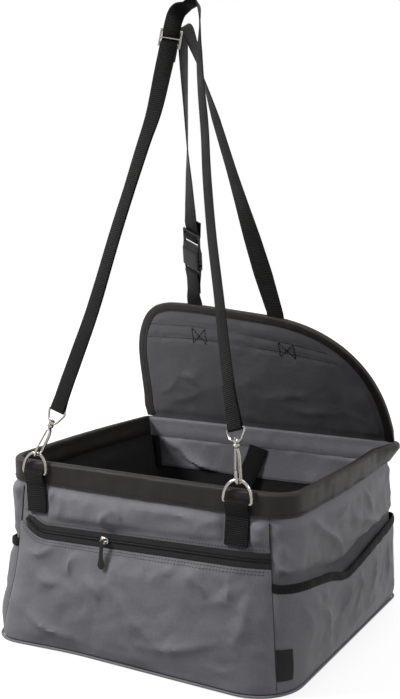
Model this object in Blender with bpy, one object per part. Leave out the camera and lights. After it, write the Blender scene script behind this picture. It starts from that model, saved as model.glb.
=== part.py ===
"""Dog car seat: an open fabric basket with a raised back flap and two hanging straps.

Metres, +Z up, +X to the right of someone who faces the zip pocket, -Y towards them.
The origin is the centre of the base on the floor.
"""

import math
from functools import partial

import bpy
import bmesh
import numpy as np
from mathutils import Matrix, Vector

# Clearances and cloth
GAP = 0.0003
SEAM_GAP = 0.0006
CLOTH = 0.0012
LINING = 0.0010
FOAM = 0.0040
BOARD = 0.0030

# Basket
BASE_HALF_WIDTH = 0.2000
BASE_FRONT = 0.1955
BASE_REAR = 0.2020
BASE_SHIFT = -0.0025
BASE_NEAR_CORNER = 0.056
BASE_LEFT_CORNER = 0.040
BASE_REAR_CORNER = 0.022
FOOT_REACH_LEFT = 0.0055
FOOT_REACH_FRONT = 0.0100
FOOT_REACH_HEIGHT = 0.110
RIM_TOP = 0.230
RIM_HALF_WIDTH = 0.205
RIM_FRONT = 0.168
RIM_REAR = 0.187
RIM_FRONT_CORNER = 0.035
RIM_REAR_CORNER = 0.014
RIM_BULGE = 0.006
RIM_SHIFT = -0.006
REAR_SHIFT = -0.010
RIM_REACH_RIGHT = 0.0175
PIPING_RADIUS = 0.0016
PIPING_LIFT = 0.0005

# Rim binding, its tube and the channel across the back
BINDING = 0.0012
BINDING_HEIGHT = 0.028
CHANNEL_HEIGHT = 0.031
FACING_BOTTOM = 0.150

# Front pocket and its zip
ZIP_HEIGHT = 0.1412
ZIP_LEFT_INSET = 0.0325
ZIP_RIGHT_INSET = 0.0260
ZIP_CURVE_LENGTH = 0.036
ZIP_CURVE_RISE = 0.016
ZIP_RISE_SHARE = 0.035
ZIP_TAPE = 0.0007
ZIP_STAND = 0.0005
ZIP_TAPE_WIDTH = 0.0066
COIL_WIDTH = 0.0040
COIL_DEPTH = 0.0018
SLIDER_PLACE = -0.045
SLIDER_LENGTH = 0.012
SLIDER_WIDTH = 0.0095
SLIDER_DEPTH = 0.0022
BAIL_RADIUS = 0.0009
BAIL_LENGTH = 0.0085
BAIL_HEIGHT = 0.0034
PULLER_THICKNESS = 0.0012
PULLER_LENGTH = 0.034
PULLER_NECK = 0.0046
PULLER_END = 0.0105
POCKET_SWELL = 0.006
POCKET_STAND = 0.0007

# Side pockets
LEFT_POCKET_HEIGHT = 0.116
LEFT_POCKET_REAR = 0.108
LEFT_POCKET_SAG = 0.024
RIGHT_POCKET_HEIGHT = 0.118
SIDE_POCKET_SWELL = 0.015
ELASTIC_HEIGHT = 0.012
ELASTIC_DEPTH = 0.0020
LABEL_WIDTH = 0.018
LABEL_HEIGHT = 0.036
LABEL_BOTTOM = 0.0226
LABEL_DEPTH = 0.0008

# Front webbing tabs and their rings
WEBBING = 0.0014
TAB_WIDTH = 0.030
TAB_BOTTOM = 0.166
TAB_SHIFT = -0.012
TAB_SPREAD = 0.1455
RING_WIRE = 0.0020
RING_HALF_WIDTH = 0.0180
RING_RISE = 0.026
RING_BAR_DROP = 0.0145

# Snap hooks, measured from the ring's wire towards the strap
HOOK_WIRE = 0.0020
HOOK_BEND = 0.0060
HOOK_TIP = 0.0105
HOOK_SHOULDER = 0.031
COLLAR_RADIUS = 0.0043
COLLAR_LOW = 0.0365
COLLAR_LENGTH = 0.0045
STUD_RADIUS = 0.0014
STUD_HEAD = 0.0024
STUD_HEAD_LENGTH = 0.0014
SWIVEL_LENGTH = 0.0044
SWIVEL_RADIUS = 0.0042
GATE_WIRE = 0.0012
EYE_WIRE = 0.0014
EYE_ROOM = 0.0010
EYE_HEIGHT = 0.0115
LEFT_HOOK = -0.1535
RIGHT_HOOK = 0.1335
LEFT_EYE = -0.1300
RIGHT_EYE = 0.1235
EYE_RISE = 0.056

# Front strap
FRONT_STRAP_WIDTH = 0.022
FRONT_APEX_RISE = 0.562
FRONT_APEX_BACK = 0.116
FRONT_APEX_SHIFT = 0.000
FRONT_APEX_HALF = 0.0200
FRONT_APEX_DROP = 0.010
SEWN_BACK = 0.035
GLIDE_BAR = 0.0024
GLIDE_PITCH = 0.010
GLIDE_RAIL_GAP = 0.0008

# Back flap
FLAP_LEFT_LEAN_DEG = 4.0
FLAP_RIGHT_LEAN_DEG = 32.0
FLAP_LEFT_PLACE = -0.228
FLAP_RIGHT_PLACE = 0.194
FLAP_HEIGHT = 0.1940
FLAP_RIGHT_HEIGHT = 0.1925
FLAP_LEFT = -0.2300
FLAP_RIGHT = 0.1990
FLAP_DRAW = 0.0110
FLAP_DRAW_START = 0.030
FLAP_DRAW_RISE = 0.110
FLAP_LEFT_CENTRE = -0.100
FLAP_RIGHT_CENTRE = 0.0
FLAP_FOLD_LEFT = -0.203
FLAP_FOLD_RIGHT = 0.172
FLAP_FAN = -0.170
FLAP_SIDE_START = 0.020
FLAP_BOARD = 0.0020
FLAP_CLOTH = 0.0010
FLAP_BINDING = 0.0010
FLAP_BINDING_WIDTH = 0.0110

# Rear strap and its side-release buckle
REAR_STRAP_WIDTH = 0.030
REAR_APEX_HEIGHT = 0.782
REAR_APEX_PLACE = -0.0265
REAR_APEX_SHIFT = -0.0220
REAR_APEX_HALF = 0.0045
ANCHOR_LOW = 0.125
ANCHOR_LEFT = -0.108
ANCHOR_RIGHT = 0.040
LEFT_LEG_FOOT = -0.108
RIGHT_LEG_FOOT = 0.042
STRAP_CLEAR = 0.005
BUCKLE_RISE = 0.0793
BUCKLE_TURN_DEG = 25.0
BUCKLE_WIDTH = 0.038
BUCKLE_DEPTH = 0.0115
SOCKET_LENGTH = 0.040
SOCKET_WALL = 0.0022
SOCKET_BORE_DEPTH = 0.027
BUCKLE_BAR = 0.0030
BUCKLE_SLOT = 0.0060
PLUG_SHOULDER = 0.0080
PLUG_PITCH = 0.0100
PRONG_LENGTH = 0.022
PRONG_WIDTH = 0.0034
TONGUE_WIDTH = 0.0060
BARB_LENGTH = 0.0080

# Safety tether
TETHER_WIDTH = 0.030
TETHER_TOP_SHIFT = -0.0145
TETHER_DRIFT = -0.048
TETHER_BOTTOM = 0.075
TETHER_STAND_OFF = 0.010

# Shares along the wall, the zip, the flap and the straps, from 0 to 1
CORNER_SHARE = 0.12
FOLD_SLOPE = 0.8
WALL_LEVEL_SHARES = (0.15, 0.36, 0.58, 0.80, 1.0)
LEVEL_MARGIN_SHARE = 0.02
FOOT_REACH_SHARE = 0.34
RIM_REACH_SHARE = 0.22
RIGHT_POCKET_SHARES = ((0.0, 1.0), (0.12, 1.0), (0.24, 0.955), (0.37, 0.845), (0.50, 0.885), (0.63, 0.935),
                       (0.76, 0.955), (1.0, 0.960))
LEFT_SWELL_SHARES = (0.03, 0.72, 0.64, 0.45)
RIGHT_SWELL_SHARES = (0.03, 0.50, 0.80, 1.0)
SWELL_POWER_SHARE = 0.5
FLAP_LEFT_POWER_SHARE = 0.4545
FLAP_RIGHT_POWER_SHARE = 0.6897
ZIP_SHARES = [0.0, 0.02, 0.04, 0.06, 0.08, 0.104, 0.20, 0.32, 0.44, 0.56, 0.68, 0.80,
              0.86, 0.89, 0.92, 0.945, 0.97, 1.0]
FRONT_POCKET_SHARES = [0.0, 0.024, 0.036, 0.048, 0.06, 0.072, 0.084, 0.096, 0.12, 0.15, 0.22, 0.32,
                       0.44, 0.56, 0.68, 0.78, 0.88, 0.904, 0.928, 0.952, 0.976, 1.0]
PULLER_SHARES = (0.06, 0.14, 0.35, 0.60, 0.72, 0.82, 0.90, 0.96, 1.0)
FLAP_LEFT_SHARES = (0.010, 0.03, 0.07, 0.12, 0.17, 0.22, 0.27, 0.32, 0.38, 0.42, 0.45, 0.475, 0.49, 0.499)
FLAP_TOP_SHARES = (0.25, 0.50, 0.75)
FLAP_RIGHT_SHARES = (0.501, 0.51, 0.525, 0.54, 0.56, 0.585, 0.61, 0.635, 0.66, 0.71, 0.76, 0.81,
                     0.86, 0.90, 0.935, 0.960)
GLIDE_SHARE = 0.910
NEAR_EYE_SHARE = 0.030
FREE_RUN_SHARE = 0.075
OVER_TOP_SHARE = 0.80
TOP_FRAME_SHARE = 0.955
LADDER_RUN_SHARE = 2.2
FRONT_LEFT_SHARES = ((0.0, 0.0), (0.079, 0.062), (0.184, 0.137), (0.345, 0.256), (0.533, 0.435),
                     (0.660, 0.545), (0.787, 0.655), (0.885, 0.735), (0.945, 0.830), (0.985, 0.895),
                     (1.015, 0.950))
FRONT_RIGHT_SHARES = ((0.0, 0.0), (0.179, 0.130), (0.374, 0.294), (0.543, 0.432), (0.687, 0.573),
                      (0.777, 0.681), (0.891, 0.791), (0.965, 0.880), (1.0, 0.950))
REAR_RIGHT_SHARES = ((0.15, 3.0), (0.28, 11.0), (0.40, 24.0), (0.52, 34.0), (0.70, 40.0), (0.84, 58.0),
                     (0.94, 82.0))
REAR_LEFT_SHARES = ((0.15, 82.0), (0.32, 73.0), (0.52, 64.0), (0.70, 47.0), (0.86, 34.0), (0.95, 27.0))
TETHER_SHARES = ((0.0, 0.0, 0.0), (0.05, 0.0, 0.0), (0.16, 0.08, 0.05), (0.35, 0.32, 0.35),
                 (0.60, 0.62, 0.8), (0.82, 0.86, 1.0), (1.0, 1.0, 0.9))

# How far the front webbing has turned about its own length: (share from the eye, degrees)
FRONT_RIGHT_TURNS = ((0.0, -16.0), (0.30, -20.0), (0.55, -24.0), (0.69, -37.0), (0.84, -44.0),
                     (0.92, -60.0), (1.0, -90.0))
FRONT_LEFT_TURNS = ((0.0, -182.0), (0.15, -186.0), (0.35, -194.0), (0.55, -197.0), (0.68, -190.0),
                    (0.78, -172.0), (0.88, -154.0), (0.952, -154.0), (0.98, -115.0), (1.0, -90.0))

# Counts and angles
TUBE_SIDES = 8
WIRE_SIDES = 10
ARCH_STEPS = 6
CORNER_STEPS = 24
SHARP_DEG = 38.0
LEFT, RIGHT = -1, 1

ZIP_LEFT = ZIP_LEFT_INSET - (BASE_HALF_WIDTH + RIM_HALF_WIDTH) / 2.0
ZIP_RIGHT = (BASE_HALF_WIDTH + RIM_HALF_WIDTH) / 2.0 - ZIP_RIGHT_INSET
X_AXIS = Vector((1.0, 0.0, 0.0))
ORIGIN = Vector((0.0, 0.0, 0.0))


# Materials

def material(name, colour, roughness, metallic=0.0):
    """A Principled BSDF material."""
    made = bpy.data.materials.new(name)
    made.use_nodes = True
    shader = made.node_tree.nodes["Principled BSDF"]
    shader.inputs["Base Color"].default_value = (*colour, 1.0)
    shader.inputs["Roughness"].default_value = roughness
    shader.inputs["Metallic"].default_value = metallic
    made.diffuse_color = (*colour, 1.0)
    return made


def grey_cloth():
    return material("grey_cloth", (0.115, 0.118, 0.125), 0.85)


def black_cloth():
    return material("black_cloth", (0.018, 0.017, 0.016), 0.80)


def black_webbing():
    return material("black_webbing", (0.014, 0.013, 0.012), 0.75)


def nickel():
    return material("nickel", (0.72, 0.70, 0.67), 0.22, 1.0)


def black_plastic():
    return material("black_plastic", (0.016, 0.016, 0.017), 0.40)


def foam():
    return material("foam", (0.60, 0.60, 0.58), 0.90)


def stiff_board():
    return material("stiff_board", (0.10, 0.10, 0.10), 0.60)


# Meshes

def finish(name, verts, faces, look, origin=ORIGIN):
    """One object from points and faces, its origin moved to the given place."""
    mesh = bpy.data.meshes.new(name)
    mesh.from_pydata([tuple(Vector(v) - Vector(origin)) for v in verts], [], faces)
    work = bmesh.new()
    work.from_mesh(mesh)
    bmesh.ops.recalc_face_normals(work, faces=work.faces)
    work.to_mesh(mesh)
    work.free()
    mesh.materials.append(look())
    mesh.shade_smooth()
    mesh.set_sharp_from_angle(angle=math.radians(SHARP_DEG))
    made = bpy.data.objects.new(name, mesh)
    made.location = origin
    bpy.context.scene.collection.objects.link(made)
    return made


def loft_data(rings, closed=False):
    """Points and faces of a skin over rings with equal counts of points."""
    count = len(rings[0])
    verts = [Vector(point) for ring in rings for point in ring]
    faces = []
    spans = len(rings) if closed else len(rings) - 1
    for i in range(spans):
        a = i * count
        b = (i + 1) % len(rings) * count
        for j in range(count):
            k = (j + 1) % count
            faces.append((a + j, a + k, b + k, b + j))
    if not closed:
        last = (len(rings) - 1) * count
        faces.append(tuple(reversed(range(count))))
        faces.append(tuple(last + j for j in range(count)))
    return verts, faces


def rising_triangles(verts, faces):
    """Split each face of four along the diagonal that rises with the place, as sheets do."""
    found = []
    for face in faces:
        if len(face) != 4:
            found.append(face)
            continue
        a, b, c, d = face
        if verts[b].z > verts[a].z:
            found += [(a, b, c), (a, c, d)]
        else:
            found += [(a, b, d), (b, c, d)]
    return found


def loft(name, rings, look, closed=False, origin=ORIGIN):
    verts, faces = loft_data(rings, closed)
    return finish(name, verts, faces, look, origin)


def sheet(name, outer, inner, columns, rows, look, origin=ORIGIN):
    """A closed sheet between two surfaces, each given by shares (u, v) from 0 to 1.

    columns and rows are counts of steps, or lists of shares.
    """
    us = spaced(columns)
    vs = spaced(rows)
    wide = len(us)
    tall = len(vs)
    verts = [surface(u, v) for surface in (outer, inner) for u in us for v in vs]
    back = wide * tall
    faces = []
    for i in range(wide - 1):
        for j in range(tall - 1):
            a = i * tall + j
            b = a + tall
            faces += [(a, a + 1, b + 1), (a, b + 1, b)]
            faces += [(back + a, back + b + 1, back + a + 1), (back + a, back + b, back + b + 1)]
    for i in range(wide - 1):
        for edge in (0, tall - 1):
            a = i * tall + edge
            faces.append((a, a + tall, back + a + tall, back + a))
    for j in range(tall - 1):
        for edge in (0, (wide - 1) * tall):
            a = edge + j
            faces.append((a, a + 1, back + a + 1, back + a))
    return finish(name, verts, faces, look, origin)


def spaced(steps):
    if isinstance(steps, int):
        return [i / steps for i in range(steps + 1)]
    return steps


def directions(points, closed=False):
    """The unit direction of travel at each point, also where points repeat."""
    found = []
    total = len(points)
    for i in range(total):
        ahead = i
        behind = i
        while (points[ahead] - points[behind]).length < GAP / total:
            ahead = (ahead + 1) % total if closed else min(ahead + 1, total - 1)
            behind = (behind - 1) % total if closed else max(behind - 1, 0)
        found.append((points[ahead] - points[behind]).normalized())
    return found


def pipe_rings(points, radii, sides, closed=False):
    """Rings of a round tube whose frame is carried along the path without twist."""
    points = [Vector(p) for p in points]
    ways = directions(points, closed)
    side = ways[0].orthogonal().normalized()
    rings = []
    for point, way, radius in zip(points, ways, radii):
        side = (side - way * side.dot(way)).normalized()
        other = way.cross(side)
        ring = []
        for k in range(sides):
            turn = 2.0 * math.pi * k / sides
            ring.append(point + side * (radius * math.cos(turn)) + other * (radius * math.sin(turn)))
        rings.append(ring)
    return rings


def pipe(name, points, radius, look, sides=TUBE_SIDES, closed=False, origin=ORIGIN):
    radii = radius if isinstance(radius, list) else [radius] * len(points)
    return loft(name, pipe_rings(points, radii, sides, closed), look, closed, origin)


def strap_rings(points, widths, width, thickness):
    """Sections of a flat strap: widths are the directions across it, one per point."""
    points = [Vector(p) for p in points]
    ways = directions(points)
    spans = width if isinstance(width, list) else [width] * len(points)
    rings = []
    for point, way, across, span in zip(points, ways, widths, spans):
        normal = across.cross(way).normalized()
        across = way.cross(normal).normalized()
        a = across * (span / 2.0)
        n = normal * (thickness / 2.0)
        rings.append([point - a - n, point + a - n, point + a + n, point - a + n])
    return rings


def leaning_triangles(verts, faces):
    """Split each face of four along the diagonal that rises to the right, so that doubled straps keep apart."""
    found = []
    for face in faces:
        if len(face) != 4:
            found.append(face)
            continue
        a, b, c, d = face
        first = verts[c] - verts[a]
        second = verts[d] - verts[b]
        if (first.x + first.y) * first.z > (second.x + second.y) * second.z:
            found += [(a, b, c), (a, c, d)]
        else:
            found += [(a, b, d), (b, c, d)]
    return found


def strap(name, points, widths, width, thickness, look, origin=ORIGIN):
    verts, faces = loft_data(strap_rings(points, widths, width, thickness))
    return finish(name, verts, leaning_triangles(verts, faces), look, origin)


def lattice(frame, xs, ts, holes, depth):
    """Points and faces of a flat plate on a grid of lines, with some cells left out.

    frame(x, t, n) places a point; holes lists the (column, row) cells that are open.
    """
    wide = len(xs)
    tall = len(ts)
    verts = [frame(x, t, n) for n in (-depth / 2.0, depth / 2.0) for x in xs for t in ts]
    back = wide * tall
    solid = {(i, j) for i in range(wide - 1) for j in range(tall - 1)} - set(holes)
    faces = []
    for i, j in sorted(solid):
        a = i * tall + j
        faces.append((a, a + 1, a + tall + 1, a + tall))
        faces.append((back + a, back + a + tall, back + a + tall + 1, back + a + 1))
        walls = {(i - 1, j): (a, a + 1), (i + 1, j): (a + tall, a + tall + 1),
                 (i, j - 1): (a, a + tall), (i, j + 1): (a + 1, a + tall + 1)}
        for cell, (p, q) in walls.items():
            if cell not in solid:
                faces.append((p, q, back + q, back + p))
    return verts, faces


def soften(made, width):
    """A small live bevel on the sharp edges."""
    bevel = made.modifiers.new("soft_edges", "BEVEL")
    bevel.width = width
    bevel.segments = 1
    bevel.limit_method = "ANGLE"
    bevel.angle_limit = math.radians(SHARP_DEG)
    return made


def cutter(made):
    made.hide_render = True
    made.display_type = "WIRE"
    return made


def combine(target, other, operation):
    """A live exact boolean with a hidden helper object."""
    cutter(other)
    step = target.modifiers.new(operation.lower(), "BOOLEAN")
    step.operation = operation
    step.solver = "EXACT"
    step.object = other
    return target


def blend_value(low, high, share):
    return low + (high - low) * share


def smooth_share(share):
    share = min(max(share, 0.0), 1.0)
    return share * share * (3.0 - 2.0 * share)


def curve_through(points, steps):
    """A Catmull-Rom curve through the points, with a count of steps in each span."""
    points = [Vector(p) for p in points]
    ends = [points[0] * 2.0 - points[1]] + points + [points[-1] * 2.0 - points[-2]]
    found = []
    for i in range(1, len(ends) - 2):
        a, b, c, d = ends[i - 1:i + 3]
        for k in range(steps):
            t = k / steps
            found.append(0.5 * ((2.0 * b) + (c - a) * t + (2.0 * a - 5.0 * b + 4.0 * c - d) * t ** 2
                                + (3.0 * b - 3.0 * c + d - a) * t ** 3))
    return found + [points[-1]]


# The basket's wall

class Outline:
    """A rounded rectangle seen from above, walked by length from the front-left corner."""

    def __init__(self, half_width, front, rear, corners, bulge, shift, rear_shift):
        points = []
        marks = []
        near, far, far_left, near_left = corners
        arcs = ((half_width - near, -front + near, near, -90.0),
                (half_width - far, rear - far, far, 0.0),
                (-half_width + far_left, rear - far_left, far_left, 90.0),
                (-half_width + near_left, -front + near_left, near_left, 180.0))
        for x, y, radius, start in arcs:
            marks.append(len(points))
            for k in range(CORNER_STEPS + 1):
                turn = math.radians(start + 90.0 * k / CORNER_STEPS)
                points.append((x + radius * math.cos(turn), y + radius * math.sin(turn)))
            marks.append(len(points) - 1)
            if start in (-90.0, 90.0):
                way = 1 if start < 0.0 else -1
                end = rear - far if start < 0.0 else -front + near_left
                here_x, here_y = points[-1]
                for k in range(1, CORNER_STEPS):
                    share = k / CORNER_STEPS
                    swell = bulge * math.sin(math.pi * share) * way
                    points.append((here_x + swell, blend_value(here_y, end, share)))
        points = np.array(points)
        points[:, 0] += shift + rear_shift * (points[:, 1] + front) / (front + rear)
        closed = np.vstack([points, points[:1]])
        steps = np.hypot(*np.diff(closed, axis=0).T)
        self.lengths = np.concatenate([[0.0], np.cumsum(steps)])
        self.total = self.lengths[-1]
        self.points = closed
        ahead = np.roll(points, -1, axis=0) - np.roll(points, 1, axis=0)
        normals = np.stack([ahead[:, 1], -ahead[:, 0]], axis=1)
        normals /= np.linalg.norm(normals, axis=1)[:, None]
        self.normals = np.vstack([normals, normals[:1]])
        self.marks = [self.lengths[m] for m in marks]

    def seams(self, front_at_corner_start):
        """The lengths of the four seams, front left first."""
        ends = self.marks
        middles = [(ends[2 * i] + ends[2 * i + 1]) / 2.0 for i in range(4)]
        if front_at_corner_start:
            return [ends[7] - self.total, ends[0], middles[1], middles[2]]
        return [middles[3] - self.total, middles[0], middles[1], middles[2]]

    def at(self, length):
        length = length % self.total
        found = [np.interp(length, self.lengths, column)
                 for column in (*self.points.T, *self.normals.T)]
        return np.array(found)


BASE = Outline(BASE_HALF_WIDTH, BASE_FRONT, BASE_REAR,
               (BASE_NEAR_CORNER, BASE_REAR_CORNER, BASE_REAR_CORNER, BASE_LEFT_CORNER), 0.0, BASE_SHIFT, 0.0)
RIM = Outline(RIM_HALF_WIDTH, RIM_FRONT, RIM_REAR,
              (RIM_FRONT_CORNER, RIM_REAR_CORNER, RIM_REAR_CORNER, RIM_FRONT_CORNER),
              RIM_BULGE, RIM_SHIFT, REAR_SHIFT)
BASE_SEAMS = BASE.seams(False)
RIM_SEAMS = RIM.seams(True)
FRONT, RIGHT_SIDE, REAR, LEFT_SIDE = range(4)

WALL_IN = -(CLOTH + GAP + FOAM + GAP + LINING)
WALL_LOW = CLOTH + GAP
ARCH_OUT = GAP + BINDING
ARCH_IN = WALL_IN - GAP - BINDING
ARCH_RADIUS = (ARCH_OUT - ARCH_IN) / 2.0
ARCH_CENTRE = (ARCH_OUT + ARCH_IN) / 2.0
ARCH_HEIGHT = RIM_TOP - ARCH_RADIUS
RIM_TUBE = ARCH_RADIUS - BINDING - GAP
WALL_TOP = ARCH_HEIGHT - RIM_TUBE - GAP


def seam_length(outline, seams, place):
    """The length along an outline at a place, where whole places are the four seams."""
    side = math.floor(place)
    share = place - side
    ends = []
    for k in (side, side + 1):
        turns, index = divmod(k, 4)
        ends.append(seams[index] + turns * outline.total)
    return blend_value(ends[0], ends[1], share)


def corner_share(place, seam, spread):
    """1 at a corner seam, falling to 0 at a distance of spread along the sides."""
    away = abs((place - seam + 2.0) % 4.0 - 2.0)
    return smooth_share(1.0 - away / spread)


def corner_reach(place, height):
    """How far the near-left foot and the far-right rim stand out of the plain wall."""
    foot = corner_share(place, FRONT, FOOT_REACH_SHARE) * (1.0 - smooth_share(height / FOOT_REACH_HEIGHT))
    low = RIM_TOP - CHANNEL_HEIGHT
    rise = min(max((height - low) / (WALL_TOP - low), 0.0), 1.0)
    rim = corner_share(place, REAR, RIM_REACH_SHARE) * rise
    return RIM_REACH_RIGHT * rim - FOOT_REACH_LEFT * foot, -FOOT_REACH_FRONT * foot


def wall(place, height, out):
    """A point of the wall: the side and the share along it, the height, and how far out."""
    low = BASE.at(seam_length(BASE, BASE_SEAMS, place))
    high = RIM.at(seam_length(RIM, RIM_SEAMS, place))
    x, y, nx, ny = low + (high - low) * (height / RIM_TOP)
    size = math.hypot(nx, ny)
    right, rear = corner_reach(place, height)
    return Vector((x + right + nx / size * out, y + rear + ny / size * out, height))


def side_length(side, height):
    """The length of one side's wall at a height."""
    lengths = []
    for outline, seams in ((BASE, BASE_SEAMS), (RIM, RIM_SEAMS)):
        lengths.append(seam_length(outline, seams, side + 1) - seam_length(outline, seams, side))
    return blend_value(lengths[0], lengths[1], height / RIM_TOP)


def front_place(x, height):
    """The place along the front side whose wall has this x at this height."""
    low, high = 0.0, 1.0
    for _ in range(24):
        middle = (low + high) / 2.0
        if wall(middle, height, 0.0).x < x:
            low = middle
        else:
            high = middle
    return low


def front(x, height, out):
    """A point in front of the front wall, by x and height."""
    return wall(front_place(x, height), height, out)


def levels_between(low, high):
    """The heights from low to high at which every layer of the wall has a row of points."""
    near = (high - low) * LEVEL_MARGIN_SHARE
    shared = [share * (RIM_TOP - CHANNEL_HEIGHT) for share in WALL_LEVEL_SHARES] + [RIM_TOP - BINDING_HEIGHT]
    return [low] + [level for level in shared if low + near < level < high - near] + [high]


def wall_sheet(name, side, levels, outer, inner, look, shares, top=None):
    """A sheet over one side of the wall.

    outer and inner are distances out of the wall, or functions of the shares (u, v).
    top, if given, is a function of u that takes the place of the last level.
    """
    margin = seam_margin(side)
    rows = len(levels) - 1

    def surface(out):
        def point(u, v):
            row = round(v * rows)
            height = top(u) if top and row == rows else levels[row]
            depth = out(u, v) if callable(out) else out
            return wall(side + margin + u * (1.0 - 2.0 * margin), height, depth)
        return point
    return sheet(name, surface(outer), surface(inner), shares, rows, look)


def side_steps(corner_share, corner, straight):
    """Shares along a side, with closer steps in the corners at its ends."""
    ends = [corner_share * i / corner for i in range(corner)]
    middle = [corner_share + (1.0 - 2.0 * corner_share) * i / straight for i in range(straight + 1)]
    return ends + middle + [1.0 - share for share in reversed(ends)]


SIDE_SHARES = side_steps(CORNER_SHARE, 5, 6)
WALLS = (("front", FRONT), ("right", RIGHT_SIDE), ("rear", REAR), ("left", LEFT_SIDE))


def all_places(first=0.0, last=4.0):
    """The wall's places from one seam to another, at the steps that every layer shares."""
    places = [side + share for side in range(-1, 4) for share in SIDE_SHARES[:-1]]
    return [place for place in places if first <= place < last] + [last]


def outer_walls():
    for name, side in WALLS:
        wall_sheet(name + "_panel", side, levels_between(WALL_LOW, WALL_TOP), 0.0, -CLOTH, grey_cloth,
                   SIDE_SHARES)


def foam_walls():
    outer = -CLOTH - GAP
    low = WALL_LOW + BOARD + GAP
    for name, side in WALLS:
        wall_sheet(name + "_foam", side, levels_between(low, WALL_TOP), outer, outer - FOAM, foam,
                   SIDE_SHARES)


def lining_walls():
    outer = -CLOTH - GAP - FOAM - GAP
    low = WALL_LOW + BOARD + GAP + LINING + GAP
    for name, side in WALLS:
        wall_sheet(name + "_lining", side, levels_between(low, WALL_TOP), outer, outer - LINING, black_cloth,
                   SIDE_SHARES)


def floor_plate(name, low, high, out, look):
    """A flat plate that fills the basket's outline at the base."""
    rings = [[wall(place, height, out) for place in all_places()[:-1]] for height in (low, high)]
    return loft(name, rings, look)


def base_panel():
    return floor_plate("base_panel", 0.0, CLOTH, 0.0, grey_cloth)


def base_board():
    return floor_plate("base_board", WALL_LOW, WALL_LOW + BOARD, -CLOTH - GAP, stiff_board)


def floor_lining():
    low = WALL_LOW + BOARD + GAP
    out = -CLOTH - GAP - FOAM - GAP
    return floor_plate("floor_lining", low, low + LINING, out, black_cloth)


def around(first, last, steps):
    return [blend_value(first, last, i / steps) for i in range(steps + 1)]


def base_piping():
    """The sewn bead that runs round the foot of the basket."""
    height = PIPING_LIFT + PIPING_RADIUS
    out = CLOTH + GAP * 2.0 + PIPING_RADIUS
    points = [wall(place, height, out) for place in all_places()[:-1]]
    return pipe("base_piping", points, PIPING_RADIUS, grey_cloth, 6, closed=True)


# The rim

def binding_section(place, height):
    """The upside-down U of the binding at one place round the rim."""
    rows = [RIM_TOP - height, RIM_TOP - BINDING_HEIGHT, WALL_TOP]
    rows = sorted(set(rows))
    outer = [(ARCH_OUT, z) for z in rows]
    inner = [(ARCH_IN + BINDING, z) for z in rows]
    for k in range(ARCH_STEPS + 1):
        turn = math.pi * k / ARCH_STEPS
        outer.append((ARCH_CENTRE + ARCH_RADIUS * math.cos(turn),
                      ARCH_HEIGHT + ARCH_RADIUS * math.sin(turn)))
        inner.append((ARCH_CENTRE - (ARCH_RADIUS - BINDING) * math.cos(turn),
                      ARCH_HEIGHT + (ARCH_RADIUS - BINDING) * math.sin(turn)))
    outer += [(ARCH_IN, z) for z in reversed(rows)]
    inner += [(ARCH_OUT - BINDING, z) for z in reversed(rows)]
    section = []
    for out, z in outer + inner:
        point = wall(place, min(z, ARCH_HEIGHT), out)
        point.z = z
        section.append(point)
    return section


def seam_margin(side):
    return SEAM_GAP / 2.0 / side_length(side, RIM_TOP)


def folded_strip(name, first, last, height, look):
    """A strip folded over the rim from one seam to another, its ends closed across its thickness."""
    places = all_places(first, last)
    places[0] += seam_margin(REAR)
    places[-1] -= seam_margin(REAR)
    verts, faces = loft_data([binding_section(place, height) for place in places])
    count = len(verts) // len(places)
    faces = faces[:-2]
    for start in (0, len(verts) - count):
        faces += [(start + i, start + i + 1, start + count - 2 - i, start + count - 1 - i)
                  for i in range(count // 2 - 1)]
    return finish(name, verts, rising_triangles(verts, faces), look)


def rim_binding():
    """The black binding over the left, front and right walls."""
    return folded_strip("rim_binding", -1.0, 2.0, BINDING_HEIGHT, black_cloth)


def rear_channel():
    """The grey channel that wraps the tube across the back."""
    return folded_strip("rear_channel", 2.0, 3.0, CHANNEL_HEIGHT, grey_cloth)


def rim_tube():
    points = [wall(place, ARCH_HEIGHT, ARCH_CENTRE) for place in all_places()[:-1]]
    return pipe("rim_tube", points, RIM_TUBE, nickel, TUBE_SIDES, closed=True)


FACING_SHARES = SIDE_SHARES[3:-3]


def back_facing():
    """The grey strip inside the back wall, under the channel, with a fold across its left end."""
    top = RIM_TOP - CHANNEL_HEIGHT - GAP
    outer = WALL_IN - GAP
    return wall_sheet("back_facing", REAR, levels_between(FACING_BOTTOM, top), outer, outer - LINING,
                      grey_cloth, FACING_SHARES)


def facing_bindings():
    """The black edge strips that run down the ends of the facing inside the corners."""
    top = RIM_TOP - CHANNEL_HEIGHT - GAP
    outer = WALL_IN - GAP
    low_share = SIDE_SHARES[2]
    high_share = SIDE_SHARES[3] - GAP / side_length(REAR, RIM_TOP)
    for name, shares in (("facing_edge_right", [low_share, high_share]),
                         ("facing_edge_left", [1.0 - high_share, 1.0 - low_share])):
        wall_sheet(name, REAR, levels_between(FACING_BOTTOM, top), outer, outer - LINING - BINDING,
                   black_cloth, shares)


# Front pocket and zip

def zip_point(share):
    """A point (x, height) of the zip's middle line and its upward normal."""
    x = blend_value(ZIP_LEFT, ZIP_RIGHT, share)
    height = ZIP_HEIGHT + ZIP_RISE_SHARE * (x - ZIP_LEFT)
    slope = ZIP_RISE_SHARE
    turn_x = ZIP_LEFT + ZIP_CURVE_LENGTH
    if x < turn_x:
        bend = (turn_x - x) / ZIP_CURVE_LENGTH
        height += ZIP_CURVE_RISE * bend ** 2
        slope -= 2.0 * ZIP_CURVE_RISE * bend / ZIP_CURVE_LENGTH
    size = math.hypot(slope, 1.0)
    return (x, height), (-slope / size, 1.0 / size)


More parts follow.
